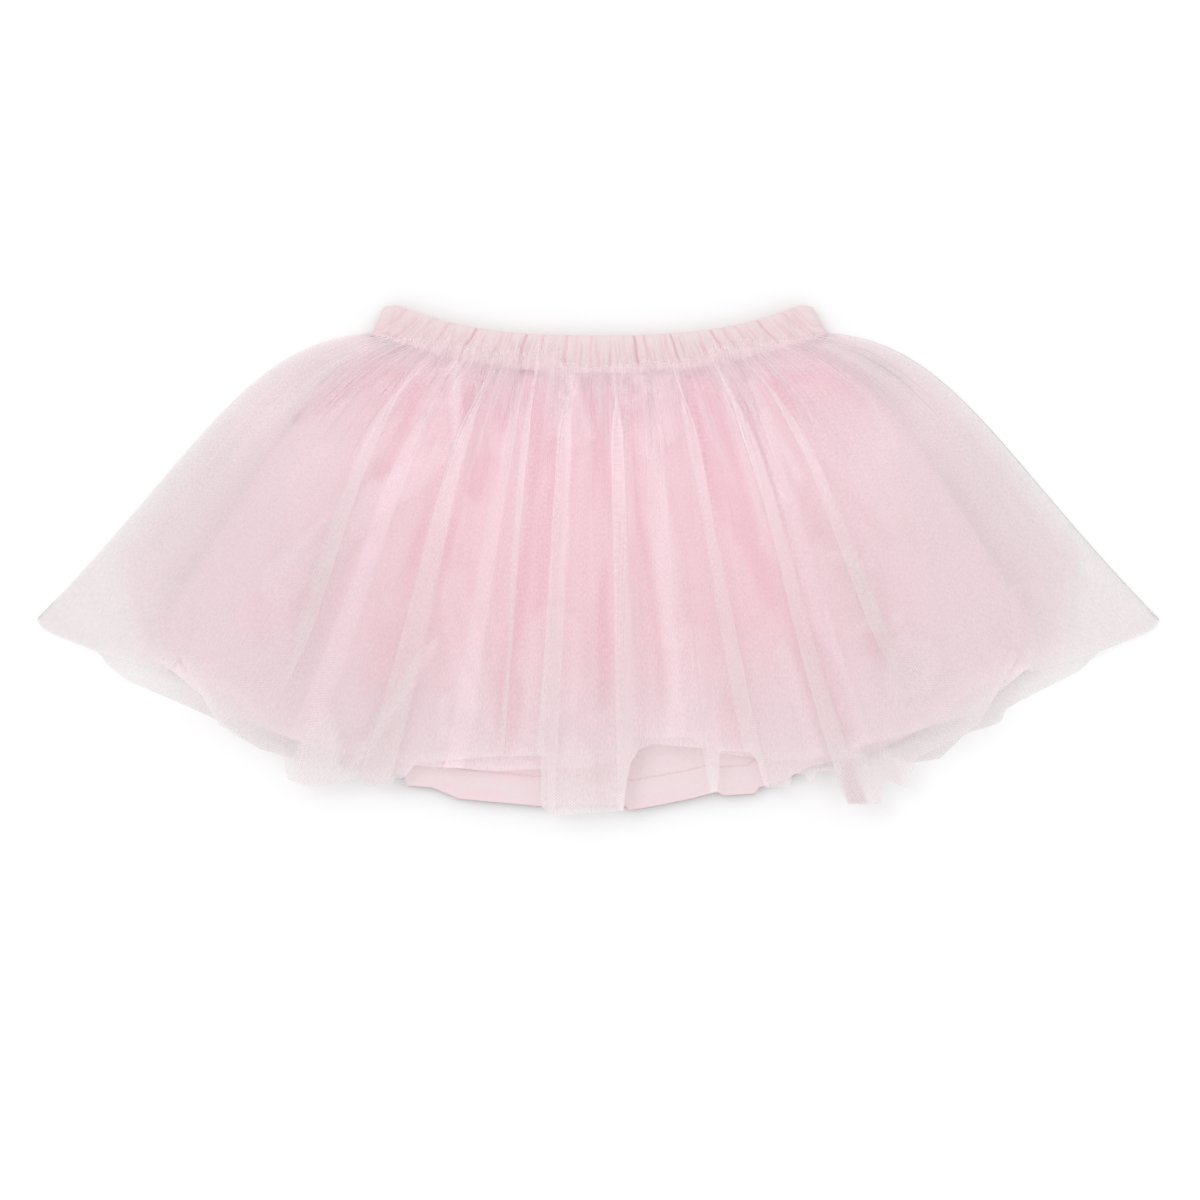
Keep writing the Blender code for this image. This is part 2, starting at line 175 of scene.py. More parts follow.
def heights_on(node, x, y):
    """The height of a node of the frame under every point of a grid. Past its edge it goes on level."""
    surface = bmesh.new()
    surface.from_mesh(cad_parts[node].data)
    tree = BVHTree.FromBMesh(surface)
    surface.free()
    down = Vector((0, 0, -1))
    found = np.full(x.shape, np.nan)
    for place in np.ndindex(x.shape):
        hit = tree.ray_cast(Vector((x[place], y[place], HIGH_ABOVE)), down)[0]
        if hit:
            found[place] = hit.z
    for column in found.T:
        known = np.flatnonzero(~np.isnan(column))
        if len(known):
            column[:] = np.interp(np.arange(len(column)), known, column[known])
    for row in found:
        known = np.flatnonzero(~np.isnan(row))
        row[:] = np.interp(np.arange(len(row)), known, row[known])
    for _ in range(SMOOTHING_ROUNDS):
        padded = np.pad(found, 1, mode="edge")
        around = padded[:-2, 1:-1] + padded[2:, 1:-1] + padded[1:-1, :-2] + padded[1:-1, 2:]
        found = (around + 2 * found) / 6
    return found


# How near a side fold a cloth rolls over, as a share of half the skirt's width
SIDE_ROLL = 0.08


def rolled(inward, reach):
    """How far a cloth has opened from a side fold, from 0 to 1, at a distance inward from it."""
    part = np.clip(inward / reach, 0, 1)
    return np.sqrt(part * (2 - part))


def close_sides(roll, middle, front, back, behind):
    """Front heights on the front and back heights behind, that meet halfway at the side folds."""
    return middle + (np.where(behind, back, front) - middle) * roll


def laid(name, shape, finish):
    """Makes an object of a finished bmesh, with its place in its mesh."""
    mesh = bpy.data.meshes.new(name)
    shape.to_mesh(mesh)
    shape.free()
    mesh.shade_smooth()
    mesh.materials.append(finish)
    piece = bpy.data.objects.new(name, mesh)
    bpy.context.scene.collection.objects.link(piece)
    return piece


def sewn(name, cloth, row, column, points, cut, values, finish):
    """Lays a flat cloth at points, closes it to a tube and makes its object. cut is its UV map in metres."""
    for vertex, point in zip(cloth.verts, points[row, column]):
        vertex.co = point
    flat = cloth.loops.layers.uv.new("Cloth")
    for face in cloth.faces:
        for loop in face.loops:
            at = loop.vert.index
            loop[flat].uv = cut[row[at], column[at]]
    layers = {key: cloth.verts.layers.float.new(key) for key in values}
    for key, layer in layers.items():
        for vertex, value in zip(cloth.verts, values[key][row, column]):
            vertex[layer] = value
    last = column.max()
    ends = [vertex for vertex, at in zip(cloth.verts, column) if at in (0, last)]
    bmesh.ops.remove_doubles(cloth, verts=ends, dist=1e-6)
    return laid(name, cloth, finish)


class Socket:
    """One output of a material's nodes, so that shader maths reads as Python does."""

    def __init__(self, tree, output=None):
        self.tree, self.output = tree, output

    def make(self, kind, sockets=None, give=0, **settings):
        """Adds a node, sets it, feeds its sockets with numbers or links and gives one of its outputs."""
        node = self.tree.nodes.new(kind)
        for name, value in settings.items():
            setattr(node, name, value)
        for name, value in (sockets or {}).items():
            if isinstance(value, Socket):
                self.tree.links.new(value.output, node.inputs[name])
            else:
                node.inputs[name].default_value = value
        return Socket(self.tree, node.outputs[give])

    def maths(self, operation, *numbers):
        return self.make("ShaderNodeMath", dict(enumerate((self, *numbers))), operation=operation)

    def __add__(self, other):
        return self.maths("ADD", other)

    def __sub__(self, other):
        return self.maths("SUBTRACT", other)

    def __rsub__(self, other):
        return self.make("ShaderNodeMath", {0: other, 1: self}, operation="SUBTRACT")

    def __mul__(self, other):
        return self.maths("MULTIPLY", other)

    __radd__ = __add__
    __rmul__ = __mul__

    def cosine(self):
        return self.maths("COSINE")

    def clamped(self):
        return self.make("ShaderNodeClamp", {0: self})

    def split(self):
        """The x and the y of a vector, each as a socket."""
        outputs = self.make("ShaderNodeSeparateXYZ", {0: self}).output.node.outputs
        return Socket(self.tree, outputs[0]), Socket(self.tree, outputs[1])

    def feed(self, node, name):
        self.tree.links.new(self.output, node.inputs[name])


def new_finish(name, roughness, sheen, specular=0.25):
    """A material with a plain shader, and the first socket to make others from."""
    material = bpy.data.materials.new(name)
    material.use_nodes = True
    tree = material.node_tree
    shader = tree.nodes["Principled BSDF"]
    shader.inputs["Roughness"].default_value = roughness
    shader.inputs["Specular IOR Level"].default_value = specular
    shader.inputs["Sheen Weight"].default_value = sheen
    return material, shader, Socket(tree)


def cloth_places(start, across, along):
    """The cloth's own UV places, with each metre across and along it made that many."""
    places = start.make("ShaderNodeUVMap", uv_map="Cloth")
    return start.make("ShaderNodeMapping", {"Vector": places, "Scale": (across, along, 1.0)})


def streaks(start, across, along, detail=2.0):
    """Noise from 0 to 1 that is drawn out along the cloth."""
    sockets = {"Vector": cloth_places(start, across, along), "Scale": 1.0, "Detail": detail}
    return start.make("ShaderNodeTexNoise", sockets, noise_dimensions="2D")


def painted(start, name):
    """A value from 0 to 1 that the cloth's own points carry."""
    return start.make("ShaderNodeAttribute", give="Fac", attribute_name=name)


def mixed(start, share, first, second):
    """A colour between two, by a share from 0 to 1. The node has its colours at sockets 6 and 7."""
    return start.make("ShaderNodeMix", {0: share, 6: first, 7: second}, give=2, data_type="RGBA")


WEAVE_PER_METRE = 2200.0
WEAVE_DEPTH = 0.0002


def add_weave(start, shader, strength):
    """The fine relief of a plain weave."""
    x, y = cloth_places(start, WEAVE_PER_METRE, WEAVE_PER_METRE).split()
    height = x.cosine() * y.cosine()
    bump = start.make("ShaderNodeBump", {"Height": height, "Strength": strength, "Distance": WEAVE_DEPTH})
    bump.feed(shader, "Normal")


LINING_PINK = (0.79, 0.505, 0.585, 1.0)
LINING_DEEP = (0.77, 0.465, 0.545, 1.0)
LINING_PALE = (0.70, 0.585, 0.605, 1.0)


def lining_finish():
    """Plain woven cotton: pink outside and paler inside and at the hem, with a fine weave."""
    material, shader, start = new_finish("lining_cotton", roughness=0.85, sheen=0.15)
    pink = mixed(start, streaks(start, across=60.0, along=12.0), LINING_DEEP, LINING_PINK)
    mixed(start, painted(start, "hem"), pink, LINING_PALE).feed(shader, "Base Color")
    add_weave(start, shader, strength=0.25)
    return material


STITCH_LENGTH, STITCH_GAP, STITCH_HALF = 0.0026, 0.0007, 0.00013
STITCHES_DOWN = 0.953
STITCHES_ACROSS = (0.17, 0.83)
THREAD_PINK = (0.76, 0.60, 0.61, 1.0)


def lay_stitches(points, behind, down):
    """The row of stitches that holds the turned hem, along the front of the lining."""
    front = np.flatnonzero(~behind[0])
    first, last = (int(len(front) * share) for share in STITCHES_ACROSS)
    row = int(np.argmin(np.abs(down[:, 0] - STITCHES_DOWN)))
    path = points[row, front[first:last]]
    steps = np.linalg.norm(np.diff(path, axis=0), axis=1)
    long = np.concatenate([[0], np.cumsum(steps)])
    seam = bmesh.new()
    for start in np.arange(0, long[-1] - STITCH_LENGTH, STITCH_LENGTH + STITCH_GAP):
        ends = [Vector([np.interp(place, long, path[:, k]) for k in range(3)])
                for place in (start, start + STITCH_LENGTH)]
        way = ends[1] - ends[0]
        turn = way.to_track_quat("Z", "Y").to_matrix().to_4x4()
        turn.translation = (ends[0] + ends[1]) / 2 + Vector((0, 0, STITCH_HALF))
        bmesh.ops.create_cone(seam, cap_ends=True, segments=8, radius1=STITCH_HALF, radius2=STITCH_HALF,
                              depth=way.length, matrix=turn)
    thread, shader, _ = new_finish("stitch_thread", roughness=0.6, sheen=0.3)
    shader.inputs["Base Color"].default_value = THREAD_PINK
    stitches = laid("hem_stitches", seam, thread)
    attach(stitches, "root")


# Where the lining keeps its pink near the hem: how much of it, then in millimetres how far across and down,
# and half the width and the height of the place
PINK_PLACES = (
    (0.8, 106, 150, 12, 22),
    (0.8, 64, 164, 8, 12),
    (0.8, -42, 160, 7, 18),
    (0.8, -100, 138, 12, 14),
    (0.8, -162, 116, 9, 10),
    (0.8, 131, 127, 6, 8),
    (0.3, -56, 199.3, 9, 2),
    (0.3, -40, 190.5, 12, 2.4),
)
PINK_FADING = (0.4, 1.5)


def pink_places(x, y):
    """How much of its pink the lining keeps at places, from 0 to 1."""
    most = 0 * x
    for kept, across, down, half_width, half_height in PINK_PLACES:
        off = np.hypot((x / MM - across) / half_width, (down_from_seam(y) - down) / half_height)
        most = np.maximum(most, kept * (1 - soft_step(*PINK_FADING, off)))
    return most


LINING_WIDEST = 0.87
LINING_COLUMNS, LINING_BACK_COLUMNS, LINING_ROWS = 300, 140, 90
LINING_COLUMN_WIDTH, LINING_LENGTH = 0.001, 0.22
LINING_GATHERS = {"count": 46, "seed": 5, "overlap": 0.8, "height": 0.0005, "fading": 0.55}
LINING_SIDE_HELD = 0.03
LINING_BELOW_SOLID, LINING_ABOVE_BACK = 0.0007, 0.0004
LINING_PALING = (0.72, 0.91)
LINING_SIDE_PALE, SIDE_PALING, SIDE_PALING_DOWN = 0.9, (0.6, 0.97), (0.1, 0.5)
ROLLED_PINK, ROLLED_EDGE = 0.1, (0.985, 0.993)
LINING_BACK_HEM = (
    (-215, 110), (-190, 142), (-160, 166), (-118, 186), (-97, 190.5), (-92, 191), (-91, 195.8), (-79, 196.6),
    (-66, 202), (-28, 205.5), (0, 205), (13, 205.5), (14.5, 207.5), (30, 204.8), (44, 201.9), (56, 198.7),
    (59, 200.5), (74, 199.5), (76, 196.5), (85.3, 194.5), (100, 187), (130, 180), (160, 166), (190, 142),
    (215, 110),
)
LINING_FRONT_SHORTER = 0.7
LINING_FRONT_HEM = [(across, down - LINING_FRONT_SHORTER) for across, down in LINING_BACK_HEM]


def lining():
    """The lining's tube, laid on its two solids, with its row of hem stitches."""
    cloth, row, column = cut_cloth(LINING_COLUMNS + LINING_BACK_COLUMNS, LINING_ROWS)
    across, behind = tube_places(LINING_COLUMNS, LINING_BACK_COLUMNS)
    down = np.linspace(0, 1, LINING_ROWS + 1)[:, None]
    strength = np.abs(across)
    held = np.clip((1 - strength) / LINING_SIDE_HELD, 0, 1)
    shift, lift = gather(across, down, **LINING_GATHERS)
    side = LINING_WIDEST * (across + held * shift)
    front_share, back_share = (share_at_hem(side[-1], hem) for hem in (LINING_FRONT_HEM, LINING_BACK_HEM))
    hem_share = np.where(behind, back_share, front_share)
    share = hem_share * down
    x, y = fold_line(side, share)
    top = heights_on("lining_front", x, y) - LINING_BELOW_SOLID
    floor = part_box("lining_back")[0].z + LINING_ABOVE_BACK
    z = close_sides(rolled(1 - strength, SIDE_ROLL), (top + floor) / 2, top, floor, behind) + held * lift
    points = np.stack([x, y, z], axis=2)
    lay_stitches(points, behind, down)
    long = LINING_COLUMN_WIDTH * np.cumsum(np.ones_like(x), axis=1)
    cut = np.stack([long, LINING_LENGTH * share], axis=2)
    pale = np.where(behind, 1.0, soft_step(*LINING_PALING, down))
    side_pale = LINING_SIDE_PALE * soft_step(*SIDE_PALING, strength) * soft_step(*SIDE_PALING_DOWN, down)
    pale = np.maximum(pale, side_pale)
    pale = pale * (1 - ROLLED_PINK * soft_step(*ROLLED_EDGE, down)) * (1 - pink_places(x, y))
    piece = sewn("lining", cloth, row, column, points, cut, {"hem": pale}, lining_finish())
    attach(piece, "root")
    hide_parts("lining_front", "lining_back")


lining()

# ---- Tulle ---------------------------------------------------------------------------------------
# Three tubes of soft polyester net lie over the lining, each cut two and a half to four times as wide as the
# waist and gathered into its seam by hand. Fine gathers leave the seam, run together into folds that lie over
# each other, and open towards the cut hem, which isn't turned up.

NET_PER_METRE = 2 * math.pi / 0.0009
NET_HOLES = 0.05
NET_UNEVENNESS = 0.32
NET_TRANSLUCENCY = 0.5
NET_IN_TABS = (0.73, 0.63, 0.66, 1)


def net_finish(name, at_waist, at_hem, through):
    """Soft net: six-sided holes, seen as a fine change in how much it hides, with streaks of small gathers.

    Light goes through the threads as well as off them.
    """
    material, shader, start = new_finish(name, roughness=0.9, sheen=0.0, specular=0.0)
    colour = mixed(start, painted(start, "opened"), at_waist, at_hem)
    mixed(start, painted(start, "tab"), colour, NET_IN_TABS).feed(shader, "Base Color")
    x, y = cloth_places(start, NET_PER_METRE, NET_PER_METRE).split()
    slant = y * (math.sqrt(3) / 2)
    net = x.cosine() + (x * 0.5 + slant).cosine() + (x * 0.5 - slant).cosine()
    fine = streaks(start, across=900.0, along=600.0, detail=1.0)
    threads = (1 - net * NET_HOLES) * (1 - NET_UNEVENNESS / 2 + fine * NET_UNEVENNESS)
    shown = painted(start, "cover") * threads
    front = Socket(start.tree, shader.outputs[0])
    behind = start.make("ShaderNodeBsdfTranslucent", {"Color": through})
    thread = start.make("ShaderNodeMixShader", {0: NET_TRANSLUCENCY, 1: front, 2: behind})
    holes = start.make("ShaderNodeBsdfTransparent")
    seen = start.make("ShaderNodeMixShader", {0: shown.clamped(), 1: holes, 2: thread})
    seen.feed(start.tree.nodes["Material Output"], "Surface")
    return material


def between(rising, falling, places):
    """Rises from 0 to 1 over one range of places, and falls back over the other."""
    return soft_step(*rising, places) * (1 - soft_step(*falling, places))


# A fold in the shape of a Z has its turns at this share of its reach to each side, and its three layers lie
# over each other over the next share. The top layer comes down past the end of the layers under it.
FOLD_PULL = 2.2
FOLD_TURN = 0.43
FOLD_OVERLAP = 0.356
FOLD_COMING_DOWN = (1.0, 1.9)
FOLD_OPENING = 0.16

# Each fold: its side at the waist and at the hem, half its width at the waist and at the hem, how far down it
# starts and ends, and 1 where it lies to the right or -1 where it lies to the left
INNER_FOLDS = (
    (-0.7, -0.72, 0.02, 0.02, 0.2, 1.4, -1),
    (0.12, 0.12, 0.02, 0.02, 0.1, 1.4, 1),
)
MIDDLE_FOLDS = (
    (-0.6, -0.62, 0.02, 0.02, 0.15, 1.4, 1),
    (-0.33, -0.34, 0.02, 0.02, 0.1, 1.4, 1),
    (0.22, 0.21, 0.02, 0.02, 0.1, 1.4, -1),
    (0.56, 0.57, 0.02, 0.02, 0.12, 1.4, 1),
)
OUTER_FOLDS = (
    (-0.71, -0.66, 0.012, 0.016, 0.12, 0.9, -1),
    (-0.46, -0.47, 0.018, 0.028, 0.06, 1.4, 1),
    (-0.27, -0.27, 0.014, 0.02, 0.06, 1.4, -1),
    (-0.13, -0.14, 0.02, 0.03, 0.05, 1.4, 1),
    (0.07, 0.09, 0.018, 0.03, 0.06, 1.4, 1),
    (0.33, 0.36, 0.014, 0.018, 0.05, 1.4, -1),
    (0.5, 0.52, 0.014, 0.018, 0.08, 1.4, 1),
    (0.63, 0.66, 0.012, 0.016, 0.1, 0.9, 1),
)


def fold_over(across, down, folds, height):
    """The shift and lift of the folds of a table."""
    shift, lift = 0 * across * down, 0 * across * down
    for at_waist, at_hem, half_at_waist, half_at_hem, starts, ends, way in folds:
        middle = at_waist + (at_hem - at_waist) * down
        reach = (half_at_waist + (half_at_hem - half_at_waist) * down) / FOLD_OVERLAP
        rising = (starts - FOLD_OPENING, starts + FOLD_OPENING)
        falling = (ends - FOLD_OPENING, ends + FOLD_OPENING)
        opened = between(rising, falling, down)
        place = (across - middle) / reach
        shift = shift - opened * FOLD_PULL * (across - middle) * np.exp(-(place**2))
        lift = lift + opened * height * between((-FOLD_TURN, FOLD_TURN), FOLD_COMING_DOWN, place * way)
    return shift, lift


# The back has half as many gathers as the front, and lower ones.
BACK_SEED, BACK_LIFT = 50, 0.4


def pulled(across, behind, down, folds, fold_height, gathers):
    """The shift and lift of every point by the front's folds and by the gathers all round."""
    shift, lift = fold_over(across, down, folds, fold_height)
    shift, lift = np.where(behind, 0, shift), np.where(behind, 0, lift)
    for count, seed, overlap, height, fading in gathers:
        front = gather(across, down, count, seed, overlap, height, fading)
        back = gather(across, down, count // 2, seed + BACK_SEED, overlap, BACK_LIFT * height, fading)
        shift = shift + np.where(behind, back[0], front[0])
        lift = lift + np.where(behind, back[1], front[1])
    return shift, lift


HEAD_ROWS = 9
ROW_CROWDING = 1.3
SIDE_BLEND = 0.06


def tube_rows(across, behind, rows):
    """How far down every point is, how far through the heading above the seam, and how much heading it has.

    All go from 0 to 1. Only the front has a heading, which runs out at the sides.
    """
    row = np.arange(rows + 1)[:, None]
    plain = (row / rows) ** ROW_CROWDING
    below = np.clip((row - HEAD_ROWS) / (rows - HEAD_ROWS), 0, 1) ** ROW_CROWDING
    front = np.where(behind, 0, soft_step(0, SIDE_BLEND, 1 - np.abs(across)))
    return plain + (below - plain) * front, np.clip(row / HEAD_ROWS, 0, 1), front


# How far the gathered heading puffs up over the waistband, in millimetres, against the side
HEADING = (
    (-1, 0.5), (-0.9, 2), (-0.8, 5), (-0.74, 7), (-0.6, 10), (-0.5, 9.5), (-0.42, 10), (-0.35, 10),
    (-0.30, 12), (-0.24, 15), (-0.18, 12), (-0.15, 6), (-0.1, 4), (0, 3.5), (0.1, 5), (0.2, 6), (0.3, 5),
    (0.4, 4.5), (0.47, 7), (0.55, 10), (0.62, 9), (0.7, 7), (0.8, 4), (0.9, 2), (1, 0.5),
)
HEADING_UNEVENNESS, HEADING_WAVES = 0.3, 22
HEADING_ROUNDNESS = 0.8
HEADING_NARROWING = 0.35
HEADING_LOFTING, HEADING_SETTLING = (0.25, 0.75), (0, 0.14)


def heading_puff(side, through, front, size, seed):
    """How far up the heading puffs at every point."""
    wavy = 1 + HEADING_UNEVENNESS * uneven(side * HEADING_WAVES, seed)
    return table_at(HEADING, side) * MM * size * wavy * front * np.sin(math.pi * through) ** HEADING_ROUNDNESS


BAND_CLEARANCE, BAND_NEARNESS = 0.0006, (0, 0.07)
NET_ABOVE_BACK = 0.0003
OWN_ROLL = 0.012


def tube_heights(name, x, y, side, across, behind, down, front, below_solid, loft):
    """The heights of a tube of net: on its front's solid, over the waistband, and level behind.

    All three tubes roll over at the sides along one line.
    """
    ceiling = heights_on("tulle_outer_front", x, y) - below_solid
    top = np.minimum(heights_on(name + "_front", x, y) - below_solid, ceiling)
    over_band = heights_on("waistband_front", x, y) + BAND_CLEARANCE
    top = top + np.maximum(over_band - top, 0) * front * (1 - soft_step(*BAND_NEARNESS, down))
    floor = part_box(name + "_back")[0].z + NET_ABOVE_BACK
    halfway = (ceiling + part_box("tulle_outer_back")[0].z) / 2
    roll = rolled(1 - np.abs(side), SIDE_ROLL) * rolled(1 - np.abs(across), OWN_ROLL)
    return close_sides(roll, halfway, top + loft, floor, behind)


# Where the net lies in fewer or more layers than elsewhere: how many more, and the places along each, across
# and down as in the hems, with half the width there, in millimetres. First where its gathers part.
PARTINGS = (
    (-0.6, (-92.4, 0.9, 2.4), (-102.4, 0, 1.9), (-119, 8.5, 2.8), (-141.3, 20.9, 3.8)),
    (-0.7, (-84.8, 4.8, 1.9), (-88.6, 19.9, 2.8), (-95.7, 34.7, 4.3), (-102.4, 46.1, 4.3)),
    (-0.5, (-102.4, 46.1, 4.3), (-115.7, 58.4, 2.8), (-136.6, 82.6, 1.9)),
    (-0.7, (-61, 10.9, 1.9), (-62.5, 20.9, 1.4)),
    (-0.7, (-47.3, 16.1, 1.4), (-44.4, 26.1, 1.4)),
    (-0.8, (-33, 0.9, 2.4), (-32.1, 14.7, 2.4), (-27.3, 28.5, 3.3), (-27.3, 38, 2.8), (-30.2, 51.3, 1.9)),
    (-0.4, (-30.2, 51.3, 1.9), (-32.1, 68.9, 2.4), (-34.4, 88.8, 2.4)),
    (-0.8, (-34.4, 88.8, 1.9), (-36.3, 106.4, 2.4), (-39.7, 121.6, 2.4),
     (-43.5, 140.6, 2.8), (-44.4, 150.6, 3.3)),
    (-0.7, (-41.6, 150.6, 6.6), (-43, 171, 5.7)),
    (-0.6, (-22.1, 33.2, 1.4), (-18.3, 55.1, 5.7), (-22.6, 71.2, 5.7), (-26.4, 95, 3.3),
     (-28.7, 112.1, 1.4)),
    (-0.7, (-5.5, 5.7, 1.9), (-6.9, 14.7, 2.4), (-3.1, 27.1, 2.8), (2.1, 42.3, 2.4), (10.2, 71.2, 1.9)),
    (-0.4, (10.2, 71.2, 4.3), (14, 95, 4.8)),
    (-0.6, (3.1, 95, 1.4), (1.7, 115.4, 2.4), (3.1, 130.6, 2.8), (3.1, 154.4, 2.8)),
    (-0.7, (-53.4, 41.3, 2.4), (-57.2, 49.9, 3.3), (-59.1, 57.5, 1.9)),
    (-0.4, (-51.5, 45.1, 6.2), (-53.9, 54.6, 5.7)),
    (-0.6, (-68.6, 71.2, 1.9), (-72, 84.1, 2.4), (-75.3, 97.4, 1.4)),
    (-0.4, (-77.2, 55.1, 1.4), (-84.8, 77.4, 1.9), (-88.6, 90.2, 2.4)),
    (-0.4, (-79.1, 78.4, 7.6), (-87.2, 99.8, 6.6)),
    (-0.4, (-96.7, 125.9, 8.5), (-103.8, 144.9, 9.5)),
    (-0.4, (-159.8, 109.2, 4.3), (-158.4, 123.5, 4.3)),
    (-0.4, (-146.5, 102.1, 2.8), (-138, 109.2, 2.8)),
    (-0.3, (-146.5, 67.5, 1.9), (-151.3, 82.6, 2.4)),
    (-0.4, (-2.6, 42.3, 1.4), (-3.1, 62.7, 1.4)),
    (-0.5, (10.2, 14.7, 0.9), (16.4, 34.7, 1.2), (18.8, 65.1, 1.4), (22.6, 84.1, 1.4),
     (26.4, 102.6, 1.4), (28.7, 121.6, 1.4), (30.2, 154.4, 1.9)),
    (-0.8, (41.6, 3.3, 2.4), (43, 16.6, 3.3), (51.5, 42.8, 4.8),
     (61.5, 62.7, 4.3), (72.9, 85, 3.3), (81.9, 109.2, 1.9)),
    (-0.6, (79.1, 87.9, 1.9), (86.7, 100.2, 2.4), (91, 113, 3.3), (96.7, 129.2, 3.8)),
    (-0.6, (99.5, 130.6, 7.1), (106.2, 149.6, 10.4), (112.8, 167.7, 9.5)),
    (-0.6, (46.8, 0.9, 1.9), (49.6, 9.5, 1.9), (60.1, 28.5, 2.4), (67.2, 52.2, 2.4), (75.3, 75, 1.9)),
    (-0.5, (97.1, 57.5, 1.9), (100.9, 66.5, 1.9), (105.2, 78.4, 1.9), (117.1, 90.2, 2.4)),
    (-0.7, (82.9, 4.8, 1.9), (90.5, 14.7, 1.9), (89.5, 22.3, 1.4)),
    (-0.7, (91.9, 2.8, 2.4), (103.3, 0.9, 1.9), (114.7, 7.1, 2.4), (124.7, 14.7, 2.4)),
    (-0.3, (102.8, 7.1, 4.8), (119.5, 30.9, 10.4)),
    (-0.4, (107.1, 47.5, 2.4), (115.7, 55.1, 2.8)),
    (-0.6, (120.9, 59.8, 1.9), (136.1, 78.8, 2.8)),
    (-0.4, (144.6, 71.2, 2.8), (152.2, 82.6, 2.8)),
    (-0.6, (130.4, 123.5, 4.3), (130.9, 130.6, 4.3)),
    (-0.5, (62.9, 154.4, 6.6), (62.9, 173.4, 5.7)),
    (-0.3, (24.5, 45.1, 3.3), (24.5, 59.4, 3.3)),
    (-0.3, (-141.8, 30.9, 8.5), (-108.5, 16.6, 9.5), (-94.3, 11.9, 5.7)),
    (-0.8, (-34, 0, 1.9), (-31.6, 6.2, 1.9)),
    (-0.6, (-5.5, 11.9, 2.4), (-3.1, 17.6, 1.9)),
)
# Then where it lies over itself.
OVERLAPS = (
    (0.6, (-69.6, 34.7, 3), (-88.6, 49.9, 5.5), (-108.5, 62.7, 7.5),
     (-129, 80.3, 8), (-148, 97.8, 9)),
    (1.2, (-78.6, 129.2, 1.2), (-96.2, 156.8, 1.4), (-113.8, 183.3, 1.4), (-119.9, 192.4, 1.4)),
    (0.9, (-72.4, 152.9, 0.9), (-73.4, 171.9, 0.9)),
    (0.5, (-68.2, 99.8, 4.8), (-63.4, 125.9, 7.6), (-61, 152.9, 6.6)),
    (0.5, (-20.7, 123.5, 11.4), (-21.6, 149.6, 12.3)),
    (0.5, (-119, 57.5, 0.7), (-148, 91.7, 0.7)),
    (1.6, (-67.2, -3.3, 0.7), (-66.7, 32.3, 0.7)),
    (0.6, (-129.9, 163.9, 5.7), (-133.2, 197.1, 10.4)),
    (0.9, (-186.9, 150.6, 0.9), (-179.3, 164.3, 0.9)),
    (0.6, (-65.8, 134.4, 0.9), (-58.2, 160.5, 0.9)),
    (0.6, (59.1, -2.8, 1.2), (61.5, 14.7, 1.4), (69.1, 42.3, 1.4), (77.7, 75, 0.9)),
    (1, (72, 5.7, 0.7), (78.1, 19.9, 0.7), (85.7, 34.7, 0.7), (94.3, 49.9, 0.7)),
    (0.8, (78.1, 19.9, 0.7), (86.7, 59.8, 0.7)),
    (0.9, (143.2, 125.9, 3.8), (148, 137.8, 11.4), (145.6, 144.9, 9.5)),
    (0.7, (105.2, 83.1, 3.3), (117.1, 99.8, 11.4), (119.5, 111.6, 11.4)),
    (0.5, (42.5, 125.9, 6.6), (42.5, 154.4, 6.6)),
    (1, (122.3, 119.7, 0.7), (142.3, 116.8, 0.7)),
    (0.8, (110.9, 85, 0.9), (127.1, 90.7, 0.9)),
    (0.6, (86.2, 130.6, 1.9), (95.7, 154.4, 1.9), (101.4, 175.8, 1.9)),
    (0.6, (19.7, 30.9, 4.3), (31.6, 87.9, 5.7), (34.9, 125.9, 4.8)),
    (0.4, (-13.5, 11.9, 3.8), (-18.3, 26.1, 3.8)),
    (2.6, (-131.3, 171, 6.6), (-133.2, 194.8, 11.4)),
    (4, (119.5, 185.2, 5.7), (126.1, 204.7, 8.5)),
    (4, (136.1, 187.6, 6.6), (139.4, 197.1, 4.8)),
    (0.6, (-11.2, 180.5, 6.6), (-11.6, 207.6, 10.4)),
    (0.4, (-84.3, 2.8, 0.7), (-76.2, -0.9, 0.7), (-67.2, -1.9, 0.7)),
    (0.4, (-79.1, 15.7, 0.7), (-70.1, 14.7, 0.7), (-66.7, 11.9, 0.7)),
    (0.5, (12.1, 0, 0.7), (19.2, 2.8, 0.7), (23, 7.6, 0.7), (18.3, 12.3, 0.7), (13.1, 14.2, 0.7)),
    (0.4, (19.2, 2.8, 0.6), (32.5, 2.8, 0.6)),
    (0.4, (23, 7.6, 0.6), (29.2, 10.9, 0.6)),
    (1.2, (-15.9, -3.3, 0.9), (-10.2, 9, 0.9), (-4, 30.4, 0.9)),
    (0.5, (-19.7, 0, 4.3), (-17.3, 11.9, 4.8), (-12.6, 30.9, 4.3)),
    (0.5, (29.2, 8.1, 3.8), (31.1, 28.5, 4.8)),
    (0.4, (-202.6, 106.9, 8.5), (-200.7, 124.9, 4.3)),
    (0.4, (202.6, 106.9, 8.5), (200.7, 124.9, 4.3)),
)
LAYER_EDGE = 3.6


def layers_at(x, y, table):
    """How many more layers of net than elsewhere lie at places, from a table of them."""
    more = 0 * x
    across, down = x / MM, down_from_seam(y)
    for amount, *places in table:
        most = 0 * x
        for start, end in zip(places, places[1:]):
            way = np.array(end[:2]) - start[:2]
            along = ((across - start[0]) * way[0] + (down - start[1]) * way[1]) / (way @ way)
            along = np.clip(along, 0, 1)
            off = np.hypot(across - start[0] - along * way[0], down - start[1] - along * way[1])
            half = start[2] + along * (end[2] - start[2])
            most = np.maximum(most, 1 - soft_step(-LAYER_EDGE / 2, LAYER_EDGE, off - half))
        more = more + amount * most
    return more


